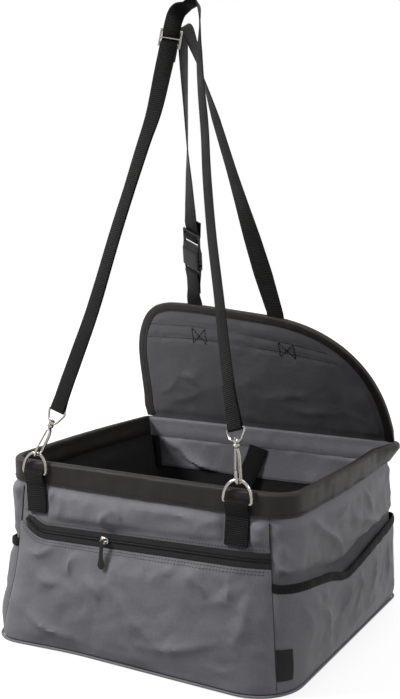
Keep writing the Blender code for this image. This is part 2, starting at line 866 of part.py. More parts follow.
def zip_strip(name, low, high, back, depth, look):
    """A strip along the zip, between two distances from its middle line."""
    def surface(out):
        def point(u, v):
            (x, z), (nx, nz) = zip_point(u)
            reach = blend_value(low, high, v)
            return front(x + nx * reach, z + nz * reach, out)
        return point
    return sheet(name, surface(back + depth), surface(back), ZIP_SHARES, 1, look)


def zip_strips():
    half = COIL_WIDTH / 2.0
    low = half + GAP
    high = low + ZIP_TAPE_WIDTH
    zip_strip("zip_tape_upper", low, high, ZIP_STAND, ZIP_TAPE, black_cloth)
    zip_strip("zip_tape_lower", -high, -low, ZIP_STAND, ZIP_TAPE, black_cloth)
    zip_strip("zip_coil", -half, half, ZIP_STAND, COIL_DEPTH, black_plastic)


def pocket_top(u):
    """The height of the front pocket's upper edge at a share along the front."""
    reach = COIL_WIDTH / 2.0 + GAP + ZIP_TAPE_WIDTH + 2.0 * GAP
    edge = []
    for share in around(0.0, 1.0, 80):
        (x, z), (nx, nz) = zip_point(share)
        edge.append((x - nx * reach, z - nz * reach))
    xs, heights = zip(*edge)
    x = wall(FRONT + u, ZIP_HEIGHT, 0.0).x
    return float(np.interp(x, xs, heights))


def front_pocket():
    """The pocket's outer cloth below the zip, swelling a little off the wall."""
    low = PIPING_LIFT + 2.0 * PIPING_RADIUS + GAP

    def swell(u, v):
        return POCKET_STAND + POCKET_SWELL * math.sin(math.pi * u) * math.sin(math.pi * v)
    levels = levels_between(low, ZIP_HEIGHT - COIL_WIDTH / 2.0 - ZIP_TAPE_WIDTH)
    return wall_sheet("front_pocket", FRONT, levels, lambda u, v: swell(u, v) + CLOTH, swell,
                      grey_cloth, FRONT_POCKET_SHARES, pocket_top)


def slider_frame():
    """The slider's place on the coil: origin, along the zip, up across it, and out."""
    share = (SLIDER_PLACE - ZIP_LEFT) / (ZIP_RIGHT - ZIP_LEFT)
    (x, z), _ = zip_point(share)
    out = ZIP_STAND + COIL_DEPTH + GAP
    origin = front(x, z, out)
    along = (front(x + SLIDER_LENGTH, z + ZIP_RISE_SHARE * SLIDER_LENGTH, out) - origin).normalized()
    rise = front(x, z + SLIDER_LENGTH, out) - origin
    outward = along.cross(rise).normalized()
    across = outward.cross(along).normalized()
    return origin, along, across, outward


def zip_slider():
    """The slider's top plate with the arched bail that carries the puller."""
    origin, along, across, outward = slider_frame()
    rings = []
    for depth, share in ((0.0, 1.0), (SLIDER_DEPTH * 0.7, 1.0), (SLIDER_DEPTH, 0.8)):
        ring = []
        for k in range(16):
            turn = 2.0 * math.pi * k / 16
            x = math.copysign(abs(math.cos(turn)) ** 0.7, math.cos(turn)) * SLIDER_LENGTH / 2.0
            y = math.copysign(abs(math.sin(turn)) ** 0.7, math.sin(turn)) * SLIDER_WIDTH / 2.0
            taper = 1.0 - 0.2 * (1.0 + x / (SLIDER_LENGTH / 2.0)) / 2.0
            ring.append(origin + along * (x * share) + across * (y * share * taper) + outward * depth)
        rings.append(ring)
    plate = loft("zip_slider", rings, nickel, origin=origin)
    half = BAIL_LENGTH / 2.0
    top = SLIDER_DEPTH + BAIL_HEIGHT
    base = SLIDER_DEPTH - BAIL_RADIUS
    path = [(-half, base), (-half, top * 0.75), (-half * 0.75, top), (half * 0.75, top),
            (half, top * 0.75), (half, base)]
    points = [origin + along * x + outward * out for x, out in path]
    bail = pipe("zip_bail", points, BAIL_RADIUS, nickel, TUBE_SIDES, origin=origin)
    return combine(plate, bail, "UNION")


def zip_puller():
    """The puller: its upper end wraps the bail's bar, and the rest hangs down."""
    origin, along, _, outward = slider_frame()
    pivot = origin + outward * (SLIDER_DEPTH + BAIL_HEIGHT)
    radius = BAIL_RADIUS + GAP + PULLER_THICKNESS / 2.0
    down = Vector((0.0, 0.0, -1.0))
    down = (down - along * down.dot(along) - outward * down.dot(outward)).normalized()
    points = []
    for k in range(9):
        turn = math.radians(-70.0 + 250.0 * k / 8)
        points.append(pivot - outward * (radius * math.cos(turn)) - down * (radius * math.sin(turn)))
    spans = [PULLER_NECK] * len(points)
    for share in PULLER_SHARES:
        points.append(pivot + outward * radius + down * (PULLER_LENGTH * share))
        if share < 0.7:
            spans.append(blend_value(PULLER_NECK, PULLER_END * 0.80, share))
        else:
            arc = (share - 0.82) / 0.19
            spans.append(PULLER_END * math.sqrt(max(1.0 - arc * arc, 0.08)))
    return strap("zip_puller", points, [along] * len(points), spans, PULLER_THICKNESS,
                 black_plastic, origin=pivot)


# Side pockets

def side_pocket_top(side):
    """The height of a side pocket's cloth along its side."""
    def top(u):
        if side == RIGHT_SIDE:
            return RIGHT_POCKET_HEIGHT * float(np.interp(u, *zip(*RIGHT_POCKET_SHARES)))
        line = blend_value(LEFT_POCKET_REAR, LEFT_POCKET_HEIGHT, u)
        return line - LEFT_POCKET_SAG * math.sin(math.pi * u) ** 1.5
    return top


def side_swell(side, u, v):
    """How far a side pocket stands off the wall, at a share along it and up it."""
    shares = LEFT_SWELL_SHARES if side == LEFT_SIDE else RIGHT_SWELL_SHARES
    rise = float(np.interp(v * (len(shares) - 1), range(len(shares)), shares))
    return POCKET_STAND + SIDE_POCKET_SWELL * math.sin(math.pi * u) ** SWELL_POWER_SHARE * rise


def side_pocket_levels():
    return levels_between(PIPING_LIFT + 2.0 * PIPING_RADIUS + GAP, LEFT_POCKET_REAR - LEFT_POCKET_SAG)


def side_pockets():
    levels = side_pocket_levels()
    for name, side in (("left_pocket", LEFT_SIDE), ("right_pocket", RIGHT_SIDE)):
        inner = partial(side_swell, side)
        wall_sheet(name, side, levels, lambda u, v, inner=inner: CLOTH + inner(u, v), inner, grey_cloth,
                   SIDE_SHARES, side_pocket_top(side))


def pocket_elastics():
    """The elastic edge that carries on from the top of each side pocket."""
    for name, side in (("left_elastic", LEFT_SIDE), ("right_elastic", RIGHT_SIDE)):
        cloth_top = side_pocket_top(side)
        margin = seam_margin(side)

        def surface(out, side=side, cloth_top=cloth_top, margin=margin):
            def point(u, v):
                low = cloth_top(u) + GAP
                place = side + margin + u * (1.0 - 2.0 * margin)
                return wall(place, low + ELASTIC_HEIGHT * v, out + side_swell(side, u, 1.0))
            return point
        sheet(name, surface(ELASTIC_DEPTH), surface(0.0), SIDE_SHARES, 1, black_cloth)


def side_label():
    """The blank folded tag sewn into the front right seam."""
    start = SEAM_GAP / side_length(RIGHT_SIDE, RIM_TOP)
    width = LABEL_WIDTH / side_length(RIGHT_SIDE, LABEL_BOTTOM)
    levels = levels_between(LABEL_BOTTOM, LABEL_BOTTOM + LABEL_HEIGHT)
    rows = len(levels) - 1
    pocket = side_pocket_levels()
    steps = around(0.0, 1.0, len(pocket) - 1)

    def surface(extra):
        def point(u, v):
            share = start + width * u
            height = levels[round(v * rows)]
            swell = side_swell(RIGHT_SIDE, share, float(np.interp(height, pocket, steps)))
            return wall(RIGHT_SIDE + share, height, CLOTH + swell + extra)
        return point
    return sheet("side_label", surface(GAP * 2.0 + LABEL_DEPTH), surface(GAP * 2.0), 4, rows, black_cloth)


# Front tabs and rings

def ring_bar_height():
    return RIM_TOP - RING_BAR_DROP


def ring_bar_out():
    back_layer = ARCH_OUT + GAP + WEBBING / 2.0
    return back_layer + WEBBING / 2.0 + GAP + RING_WIRE


def tab_x(side):
    return TAB_SHIFT + side * TAB_SPREAD


def ring_frame(side):
    """A ring's bar centre, and the directions along the wall's slope and out of it."""
    bar = front(tab_x(side), ring_bar_height(), ring_bar_out())
    rise = (front(TAB_SHIFT, RIM_TOP, 0.0) - front(TAB_SHIFT, TAB_BOTTOM, 0.0)).normalized()
    middle = front(TAB_SHIFT, ring_bar_height(), ring_bar_out())
    bar = Vector((bar.x, middle.y, middle.z))
    return bar, rise, X_AXIS.cross(rise).normalized()


def ring_tabs():
    """Webbing that is sewn to the front wall and loops round a ring's bar."""
    radius = RING_WIRE + GAP + WEBBING / 2.0
    sewn = GAP + WEBBING / 2.0
    over = ARCH_OUT + GAP + WEBBING / 2.0
    step_low = RIM_TOP - BINDING_HEIGHT - WEBBING * 2.0
    step_high = RIM_TOP - BINDING_HEIGHT - GAP
    second = WEBBING + GAP
    bar_out = ring_bar_out()
    path = [(sewn, TAB_BOTTOM), (sewn, step_low), (over, step_high),
            (over, ring_bar_height() - radius * 0.5)]
    for k in range(9):
        turn = math.radians(180.0 - 180.0 * k / 8)
        path.append((bar_out + radius * math.cos(turn), ring_bar_height() + radius * math.sin(turn)))
    path += [(bar_out + radius * 0.8, ring_bar_height() - radius), (over + second, step_high + GAP),
             (sewn + second, step_low - GAP), (sewn + second, TAB_BOTTOM)]
    for name, side in (("ring_tab_left", LEFT), ("ring_tab_right", RIGHT)):
        points = [front(tab_x(side), z, out) for out, z in path]
        strap(name, points, [X_AXIS] * len(points), TAB_WIDTH, WEBBING, black_webbing)


def d_rings():
    for name, side in (("d_ring_left", LEFT), ("d_ring_right", RIGHT)):
        bar, rise, _ = ring_frame(side)
        low = RING_RISE * 0.15
        path = [(-RING_HALF_WIDTH * 0.955, 0.0), (-RING_HALF_WIDTH * 0.5, 0.0), (0.0, 0.0),
                (RING_HALF_WIDTH * 0.5, 0.0), (RING_HALF_WIDTH * 0.955, 0.0)]
        for k in range(17):
            turn = math.radians(-6.0 + 192.0 * k / 16)
            path.append((RING_HALF_WIDTH * math.cos(turn), low + (RING_RISE - low) * math.sin(turn)))
        points = [bar + X_AXIS * x + rise * up for x, up in path]
        pipe(name, points, RING_WIRE, nickel, WIRE_SIDES, closed=True, origin=bar)


# Snap hooks

def hook_line():
    """The line along X through the tops of both rings, on which the hooks hang."""
    bar, rise, _ = ring_frame(LEFT)
    return bar + rise * RING_RISE


def hook_frame(side):
    """A hook's seat on the ring, its direction to the strap, the way its bend faces, and its side."""
    line = hook_line()
    seat = Vector((LEFT_HOOK if side == LEFT else RIGHT_HOOK, line.y, line.z))
    eye = strap_point(side, 0.0)
    along = (eye - seat).normalized()
    face = X_AXIS.cross(along).normalized()
    return seat, along, face, along.cross(face).normalized()


def hook_place(side, face_way, up):
    seat, along, face, _ = hook_frame(side)
    return seat + along * up + face * face_way


def hook_bodies():
    """The hook's bar, bend and tip, its collar and the headed stud on which it swivels."""
    for name, side in (("snap_hook_left", LEFT), ("snap_hook_right", RIGHT)):
        _, along, _, _ = hook_frame(side)
        tilt = math.hypot(along.y, along.z)
        depth = (RING_WIRE + HOOK_WIRE + GAP * 2.0) / tilt
        centre = HOOK_BEND - depth
        path = [(HOOK_BEND, HOOK_TIP), (HOOK_BEND, (HOOK_TIP + centre) / 2.0)]
        for k in range(11):
            turn = math.radians(-180.0 * k / 10)
            path.append((HOOK_BEND * math.cos(turn), centre + HOOK_BEND * math.sin(turn)))
        path += [(-HOOK_BEND, HOOK_SHOULDER * 0.5), (-HOOK_BEND, HOOK_SHOULDER * 0.85),
                 (-HOOK_BEND * 0.72, HOOK_SHOULDER), (0.0, COLLAR_LOW)]
        radii = [HOOK_WIRE * 0.75] + [HOOK_WIRE] * (len(path) - 1)
        high = COLLAR_LOW + COLLAR_LENGTH
        neck = high + GAP * 2.0 + SWIVEL_LENGTH
        for up, radius in ((COLLAR_LOW + GAP, COLLAR_RADIUS), (high, COLLAR_RADIUS), (high, STUD_RADIUS),
                           (neck, STUD_RADIUS), (neck, STUD_HEAD), (neck + STUD_HEAD_LENGTH, STUD_HEAD)):
            path.append((0.0, up))
            radii.append(radius)
        points = [hook_place(side, face_way, up) for face_way, up in path]
        pipe(name, points, radii, nickel, WIRE_SIDES, origin=hook_place(side, 0.0, high))


def hook_gates():
    """The sprung wire that closes each hook."""
    for name, side in (("snap_gate_left", LEFT), ("snap_gate_right", RIGHT)):
        pivot_up = COLLAR_LOW - GATE_WIRE - GAP * 4.0
        pivot_face = COLLAR_RADIUS * 0.75
        low_up = HOOK_TIP + GATE_WIRE + GAP
        path = [(HOOK_BEND, low_up - GATE_WIRE), (HOOK_BEND, low_up), (HOOK_BEND, low_up + GATE_WIRE)]
        path += [(pivot_face, pivot_up + GATE_WIRE * step) for step in (-1.0, 0.0, 1.0)]
        radii = [GATE_WIRE * 0.6, GATE_WIRE, GATE_WIRE, GATE_WIRE, GATE_WIRE, GATE_WIRE * 0.5]
        points = [hook_place(side, face_way, up) for face_way, up in path]
        pipe(name, points, radii, nickel, TUBE_SIDES, origin=hook_place(side, pivot_face, pivot_up))


def eye_half_width():
    return FRONT_STRAP_WIDTH / 2.0 + EYE_ROOM + EYE_WIRE


def hook_eyes():
    """The wire eye that holds the webbing, with the bored barrel that the stud turns in."""
    for name, side in (("snap_eye_left", LEFT), ("snap_eye_right", RIGHT)):
        seat, along, face, across = hook_frame(side)
        low = COLLAR_LOW + COLLAR_LENGTH + GAP
        high = low + SWIVEL_LENGTH
        bore = STUD_RADIUS + GAP
        barrel_rings = []
        for k in range(16):
            turn = 2.0 * math.pi * k / 16
            way = face * math.cos(turn) + across * math.sin(turn)
            barrel_rings.append([seat + along * up + way * radius for radius, up in
                                 ((bore, low), (SWIVEL_RADIUS, low), (SWIVEL_RADIUS, high), (bore, high))])
        barrel = loft(name, barrel_rings, nickel, closed=True, origin=seat + along * low)
        half = eye_half_width()
        middle = (low + high) / 2.0
        foot = (bore + SWIVEL_RADIUS) / 2.0
        way, bar, _ = strap_frame(side, 0.0)
        bar = bar if bar.dot(across) > 0.0 else -bar
        eye = strap_point(side, 0.0)
        arms = []
        for turn in (1.0, -1.0):
            corner = eye + bar * (half * turn)
            inset = bar * (EYE_WIRE * -turn)
            arms.append([seat + along * middle + across * (foot * turn),
                         seat + along * (middle + EYE_WIRE) + across * (SWIVEL_RADIUS * 1.6 * turn),
                         corner - way * (EYE_WIRE * 3.0), corner - way * (EYE_WIRE * 1.2),
                         corner + inset * 0.5 - way * (EYE_WIRE * 0.2), corner + inset * 1.4])
        points = arms[0] + [eye] + list(reversed(arms[1]))
        wire = pipe(name + "_wire", points, EYE_WIRE, nickel, TUBE_SIDES, origin=seat + along * low)
        combine(barrel, wire, "UNION")


# Front strap

def strap_plane(x, up):
    """A point of the front strap's leaning plane."""
    line = hook_line()
    share = up / FRONT_APEX_RISE
    return Vector((x, line.y + FRONT_APEX_BACK * share, line.z + up))


def strap_leg(side):
    """The curve of one leg, from its eye to the middle of the top."""
    eye_x = LEFT_EYE if side == LEFT else RIGHT_EYE
    edge = FRONT_APEX_SHIFT + side * FRONT_APEX_HALF
    points = []
    for across, up in (FRONT_LEFT_SHARES if side == LEFT else FRONT_RIGHT_SHARES):
        points.append(strap_plane(blend_value(eye_x, edge, across),
                                  blend_value(EYE_RISE, FRONT_APEX_RISE, up)))
    drop = FRONT_APEX_DROP if side == LEFT else 0.0
    points.append(strap_plane(blend_value(edge, FRONT_APEX_SHIFT, 0.35), FRONT_APEX_RISE - drop))
    points.append(strap_plane(FRONT_APEX_SHIFT, FRONT_APEX_RISE - FRONT_APEX_DROP * 0.4))
    return curve_through(points, 5)


LEG_CACHE = {}


def leg_points(side):
    if side not in LEG_CACHE:
        points = strap_leg(side)
        lengths = [0.0]
        for a, b in zip(points, points[1:]):
            lengths.append(lengths[-1] + (b - a).length)
        LEG_CACHE[side] = (points, [length / lengths[-1] for length in lengths], lengths[-1])
    return LEG_CACHE[side]


def strap_point(side, share):
    """The place on a leg's middle line, at a share of its length from the eye."""
    points, shares, _ = leg_points(side)
    found = [np.interp(share, shares, [p[k] for p in points]) for k in range(3)]
    return Vector(found)


def strap_turn(side, share):
    """How far the webbing has turned about its own length, in degrees."""
    shares, turns = zip(*(FRONT_LEFT_TURNS if side == LEFT else FRONT_RIGHT_TURNS))
    return math.radians(float(np.interp(share, shares, turns)))


def strap_frame(side, share):
    """The direction of travel towards the top, across the webbing, and out of its face."""
    step_share = 0.004
    way = strap_point(side, min(share + step_share, 1.0)) - strap_point(side, max(share - step_share, 0.0))
    way = way.normalized()
    level = (X_AXIS - way * X_AXIS.dot(way)).normalized()
    if share > TOP_FRAME_SHARE:
        tilt = strap_plane(0.0, FRONT_APEX_RISE) - strap_plane(0.0, 0.0)
        level = way.cross(X_AXIS.cross(tilt)).normalized()
    turn = strap_turn(side, share)
    normal = way.cross(level).normalized()
    across = level * math.cos(turn) + normal * math.sin(turn)
    return way, across, way.cross(across).normalized()


def strap_station(side, share, out=0.0, along=0.0):
    """A point beside a leg's middle line, with the webbing's direction across."""
    way, across, normal = strap_frame(side, share)
    return strap_point(side, share) + way * along + normal * out, across


def build_front_strap_path():
    """The webbing from its sewn end at the glide, round the left eye, over the top and down."""
    length = leg_points(LEFT)[2]
    half = (WEBBING + GAP) / 2.0
    eye_turn = EYE_WIRE + GAP + WEBBING / 2.0
    glide_turn = GLIDE_BAR * 0.75 + GAP + WEBBING / 2.0
    plane = -half - glide_turn
    stations = []

    def add(side, share, out, along=0.0):
        stations.append(strap_station(side, share, out, along))
    glide = GLIDE_SHARE
    pitch = GLIDE_PITCH
    add(LEFT, glide, plane - glide_turn, -pitch - SEWN_BACK * 0.5)
    add(LEFT, glide, plane - glide_turn, -pitch - SEWN_BACK * 0.25)
    for k in range(7):
        turn = math.radians(180.0 - 180.0 * k / 6)
        add(LEFT, glide, plane + glide_turn * math.cos(turn), -pitch + glide_turn * math.sin(turn))
    top = glide - (pitch + glide_turn) / length
    near = NEAR_EYE_SHARE
    for share in around(top, near, 32):
        add(LEFT, share, -half)
    for k in range(9):
        turn = math.radians(180.0 + 180.0 * k / 8)
        add(LEFT, 0.0, eye_turn * math.cos(turn), eye_turn * math.sin(turn))
    for share in around(near, top, 32):
        add(LEFT, share, half)
    add(LEFT, glide, half, -pitch + glide_turn * 0.6)
    for angle in (-35.0, -65.0, -95.0, -125.0, -150.0):
        turn = math.radians(angle)
        add(LEFT, glide, plane + glide_turn * math.sin(turn), -glide_turn * math.cos(turn))
    for angle in (-40.0, -10.0, 15.0, 45.0):
        turn = math.radians(angle)
        add(LEFT, glide, plane + glide_turn * math.cos(turn), pitch + glide_turn * math.sin(turn))
    start = glide + (pitch + glide_turn * 3.0) / length
    for share in around(start, 1.0, 8):
        add(LEFT, share, 0.0)
    for share in around(1.0, OVER_TOP_SHARE, 10)[1:]:
        add(RIGHT, share, 0.0)
    for share in around(OVER_TOP_SHARE, FREE_RUN_SHARE, 16)[1:]:
        add(RIGHT, share, 0.0)
    add(RIGHT, near, half)
    for k in range(9):
        turn = math.radians(-180.0 * k / 8)
        add(RIGHT, 0.0, eye_turn * math.cos(turn), eye_turn * math.sin(turn))
    sewn_share = SEWN_BACK / leg_points(RIGHT)[2]
    add(RIGHT, near, -half - GAP)
    add(RIGHT, (near + sewn_share) / 2.0, -half * 2.0)
    add(RIGHT, sewn_share + near, -half * 2.0 - GAP)
    return stations


def front_strap():
    stations = build_front_strap_path()
    points = [point for point, _ in stations]
    across = [way for _, way in stations]
    return strap("front_strap", points, across, FRONT_STRAP_WIDTH, WEBBING, black_webbing,
                 origin=hook_line())


def tri_glide():
    """The three-bar slide that sets the front strap's length."""
    way, across, normal = strap_frame(LEFT, GLIDE_SHARE)
    half = (WEBBING + GAP) / 2.0
    plane = -half - (GLIDE_BAR * 0.75 + GAP + WEBBING / 2.0)
    centre = strap_point(LEFT, GLIDE_SHARE) + normal * plane
    inner = FRONT_STRAP_WIDTH / 2.0 + GLIDE_RAIL_GAP
    xs = [-inner - GLIDE_BAR, -inner, inner, inner + GLIDE_BAR]
    bar = GLIDE_BAR / 2.0
    ts = [-GLIDE_PITCH - bar, -GLIDE_PITCH + bar, -bar, bar, GLIDE_PITCH - bar, GLIDE_PITCH + bar]

    def frame(x, t, n):
        return centre + across * x + way * t + normal * n
    verts, faces = lattice(frame, xs, ts, ((1, 1), (1, 3)), GLIDE_BAR)
    return soften(finish("tri_glide", verts, faces, nickel, origin=centre), GLIDE_BAR * 0.22)


# Back flap

def hinge_line():
    """The middle of the fold, on the axis of the rim tube across the back."""
    middle = wall(REAR + 0.5, ARCH_HEIGHT, ARCH_CENTRE)
    return Vector((0.0, middle.y, middle.z))


FLAP_HALF = FLAP_BOARD / 2.0 + GAP + FLAP_CLOTH
FLAP_FOOT = ARCH_RADIUS + GAP * 2.0


def flap(x, rise, out):
    """A point of the flap by its place across, its distance from the fold and out of its face."""
    share = (x - FLAP_LEFT_PLACE) / (FLAP_RIGHT_PLACE - FLAP_LEFT_PLACE)
    lean = math.radians(blend_value(FLAP_LEFT_LEAN_DEG, FLAP_RIGHT_LEAN_DEG, share))
    hinge = hinge_line()
    return Vector((x, hinge.y - rise * math.sin(lean) - out * math.cos(lean),
                   hinge.z + rise * math.cos(lean) - out * math.sin(lean)))


def flap_draw(rise):
    """How far the flap's left side is drawn in towards its foot."""
    return FLAP_DRAW * (1.0 - smooth_share((rise - FLAP_DRAW_START) / FLAP_DRAW_RISE))


def flap_edge(share):
    """A point (x, rise) of the flap's outline, from the left foot over the top to the right."""
    if share < 0.5:
        turn = math.radians(180.0 - 90.0 * share / 0.5)
        power = FLAP_LEFT_POWER_SHARE
        x = FLAP_LEFT_CENTRE - (FLAP_LEFT_CENTRE - FLAP_LEFT) * abs(math.cos(turn)) ** power
        rise = FLAP_HEIGHT * abs(math.sin(turn)) ** power
        return x + flap_draw(rise), rise
    turn = math.radians(90.0 * (1.0 - share) / 0.5)
    power = FLAP_RIGHT_POWER_SHARE
    x = FLAP_RIGHT_CENTRE + (FLAP_RIGHT - FLAP_RIGHT_CENTRE) * abs(math.cos(turn)) ** power
    return x, FLAP_RIGHT_HEIGHT * abs(math.sin(turn)) ** power


def flap_outline():
    """The outline's points that the binding follows, evened out."""
    points = [Vector((FLAP_LEFT + flap_draw(FLAP_SIDE_START), FLAP_SIDE_START))]
    left = [Vector(flap_edge(share)) for share in FLAP_LEFT_SHARES]
    right = [Vector(flap_edge(share)) for share in FLAP_RIGHT_SHARES]
    top = [left[-1].lerp(right[0], share) for share in FLAP_TOP_SHARES]
    points += [point for point in left + top + right if point.y > FLAP_SIDE_START * 1.4]
    points.append(Vector((FLAP_RIGHT, FLAP_SIDE_START)))
    return points


def flap_columns(inset):
    """The foot and head of each column of the flap's body, which fan out at the left corner."""
    heads = []
    outline = flap_outline()
    for i, point in enumerate(outline):
        before = outline[max(i - 1, 0)]
        after = outline[min(i + 1, len(outline) - 1)]
        way = (after - before).normalized()
        outward = Vector((-way.y, way.x))
        heads.append(point - outward * inset)
    heads = heads[1:-1]
    turn = next(i for i, head in enumerate(heads) if head.x > FLAP_FAN)
    lengths = [0.0]
    for before, after in zip(heads, heads[1:]):
        lengths.append(lengths[-1] + (after - before).length)
    first = heads[0].x + FLAP_DRAW / 2.0
    columns = []
    for i, head in enumerate(heads):
        x = head.x if i > turn else blend_value(first, heads[turn].x, lengths[i] / lengths[turn])
        slope = max(FLAP_FOLD_LEFT - x, x - FLAP_FOLD_RIGHT, 0.0) * FOLD_SLOPE
        columns.append((Vector((x, FLAP_FOOT + slope)), head))
    return columns


def flap_layer(name, near, far, look):
    columns = flap_columns(2.0 * GAP)
    last = len(columns) - 1
    rows = 6

    def surface(out):
        def point(u, v):
            foot, head = columns[round(u * last)]
            row = round(v * rows)
            length = (head - foot).length
            edge = 1.0 - FLAP_BINDING_WIDTH / length * min(1.0, length / FLAP_HEIGHT * 4.0)
            place = head if row == rows else foot.lerp(head, max(edge, 0.0) * row / (rows - 1))
            return flap(place.x, place.y, out)
        return point
    return sheet(name, surface(near), surface(far), last, rows, look, origin=hinge_line())


def flap_layers():
    half = FLAP_BOARD / 2.0
    flap_layer("flap_front", FLAP_HALF, half + GAP, grey_cloth)
    flap_layer("flap_board", half, -half, stiff_board)
    flap_layer("flap_back", -half - GAP, -FLAP_HALF, grey_cloth)


def flap_binding():
    """The black edge binding, a U that wraps the three layers."""
    outline = flap_outline()
    top = FLAP_HALF + GAP + FLAP_BINDING
    edge = GAP + FLAP_BINDING
    section = [(-FLAP_BINDING_WIDTH, top), (0.0, top), (edge, top * 0.55), (edge, -top * 0.55), (0.0, -top),
               (-FLAP_BINDING_WIDTH, -top), (-FLAP_BINDING_WIDTH, -top + FLAP_BINDING),
               (0.0, -top + FLAP_BINDING), (0.0, top - FLAP_BINDING),
               (-FLAP_BINDING_WIDTH, top - FLAP_BINDING)]
    rings = []
    for i, point in enumerate(outline):
        before = outline[max(i - 1, 0)]
        after = outline[min(i + 1, len(outline) - 1)]
        way = (after - before).normalized()
        outward = Vector((-way.y, way.x))
        rings.append([flap(point.x + outward.x * reach, point.y + outward.y * reach, out)
                      for reach, out in section])
    return loft("flap_binding", rings, black_cloth, origin=hinge_line())


# Rear strap and buckle

def rear_foot():
    return flap(LEFT_LEG_FOOT, FLAP_HEIGHT + STRAP_CLEAR, -ANCHOR_OUT)


def rear_plane(x, height):
    """A point of the plane between the flap's top and the top of the rear strap."""
    foot = rear_foot()
    share = (height - foot.z) / (REAR_APEX_HEIGHT - foot.z)
    return Vector((x, blend_value(foot.y, REAR_APEX_PLACE, share), height))


ANCHOR_OUT = FLAP_HALF + GAP + FLAP_BINDING + GAP + WEBBING / 2.0


def left_leg(height):
    """The straight line from the flap's top to the left of the rear strap's top."""
    foot = rear_foot()
    share = (height - foot.z) / (REAR_APEX_HEIGHT - foot.z)
    return rear_plane(blend_value(foot.x, REAR_APEX_SHIFT - REAR_APEX_HALF, share), height)


def turned_across(up, degrees):
    """The direction across a webbing that runs along up and has turned about it by so much."""
    level = (X_AXIS - up * X_AXIS.dot(up)).normalized()
    turn = math.radians(degrees)
    return level * math.cos(turn) + level.cross(up) * math.sin(turn)


def buckle_height():
    """The height of the buckle's middle, above the flap's top."""
    return rear_foot().z + BUCKLE_RISE


def buckle_frame():
    """The buckle's middle, and the directions up the strap, across it and out of its face."""
    centre = left_leg(buckle_height())
    up = (left_leg(REAR_APEX_HEIGHT) - centre).normalized()
    across = turned_across(up, BUCKLE_TURN_DEG)
    return centre, up, across, across.cross(up).normalized()


def buckle_point(x, t, n):
    centre, up, across, out = buckle_frame()
    return centre + across * x + up * t + out * n


SOCKET_FOOT = -SOCKET_LENGTH
SOCKET_BAR = SOCKET_FOOT + BUCKLE_BAR / 2.0
BAR_TURN = BUCKLE_BAR * 0.70 + GAP + WEBBING / 2.0
PLUG_FIRST = GAP + PLUG_SHOULDER
PLUG_LOW_BAR = PLUG_FIRST + PLUG_PITCH - BUCKLE_BAR / 2.0
PLUG_HIGH_BAR = PLUG_FIRST + 2.0 * PLUG_PITCH - BUCKLE_BAR / 2.0


def flap_across(x, rise):
    """The direction across the flap's face, which twists from side to side."""
    reach = REAR_STRAP_WIDTH / 2.0
    return (flap(x + reach, rise, -ANCHOR_OUT) - flap(x - reach, rise, -ANCHOR_OUT)).normalized()


def flap_run(low_x, high_x, height):
    """Places (x, rise) up the flap's back from a webbing's sewn end to just above the flap's top."""
    places = [(blend_value(low_x, high_x, share), blend_value(ANCHOR_LOW, height, share))
              for share in around(0.0, 1.0, 4)]
    return places + [(high_x, height + STRAP_CLEAR)]


def rear_strap_stub():
    """The short webbing from the flap's back to the buckle's socket, sewn back on itself."""
    places = flap_run(ANCHOR_LEFT, LEFT_LEG_FOOT, FLAP_HEIGHT)
    points = [flap(x, rise, -ANCHOR_OUT) for x, rise in places]
    across = [flap_across(x, rise) for x, rise in places]
    half = (WEBBING + GAP) / 2.0
    reach = abs(SOCKET_BAR)
    points.append(buckle_point(0.0, -reach - SEWN_BACK, half))
    points.append(buckle_point(0.0, -reach - SEWN_BACK * 0.45, half))
    for k in range(9):
        turn = math.radians(180.0 * k / 8)
        points.append(buckle_point(0.0, SOCKET_BAR + BAR_TURN * math.sin(turn), BAR_TURN * math.cos(turn)))
    points += [buckle_point(0.0, -reach - SEWN_BACK * 0.45, -half),
               buckle_point(0.0, -reach - SEWN_BACK * 0.9, -half)]
    across += [buckle_frame()[2]] * (len(points) - len(across))
    return strap("rear_strap_stub", points, across, REAR_STRAP_WIDTH, WEBBING, black_webbing,
                 origin=hinge_line())


def rounded_rings(stations):
    """Rounded-rectangle sections along the buckle: (t, half width, half depth)."""
    rings = []
    for t, wide, deep in stations:
        ring = []
        for k in range(20):
            turn = 2.0 * math.pi * (k + 0.5) / 20
            c, s = math.cos(turn), math.sin(turn)
            ring.append(buckle_point(math.copysign(abs(c) ** 0.45, c) * wide, t,
                                     math.copysign(abs(s) ** 0.45, s) * deep))
        rings.append(ring)
    return rings


def buckle_box(name, x, t, n):
    """A helper block given by its low and high ends across, along and through the buckle."""
    rings = [[buckle_point(a, b, c) for a, b in ((x[0], t[0]), (x[1], t[0]), (x[1], t[1]), (x[0], t[1]))]
             for c in n]
    return loft(name, rings, black_plastic)


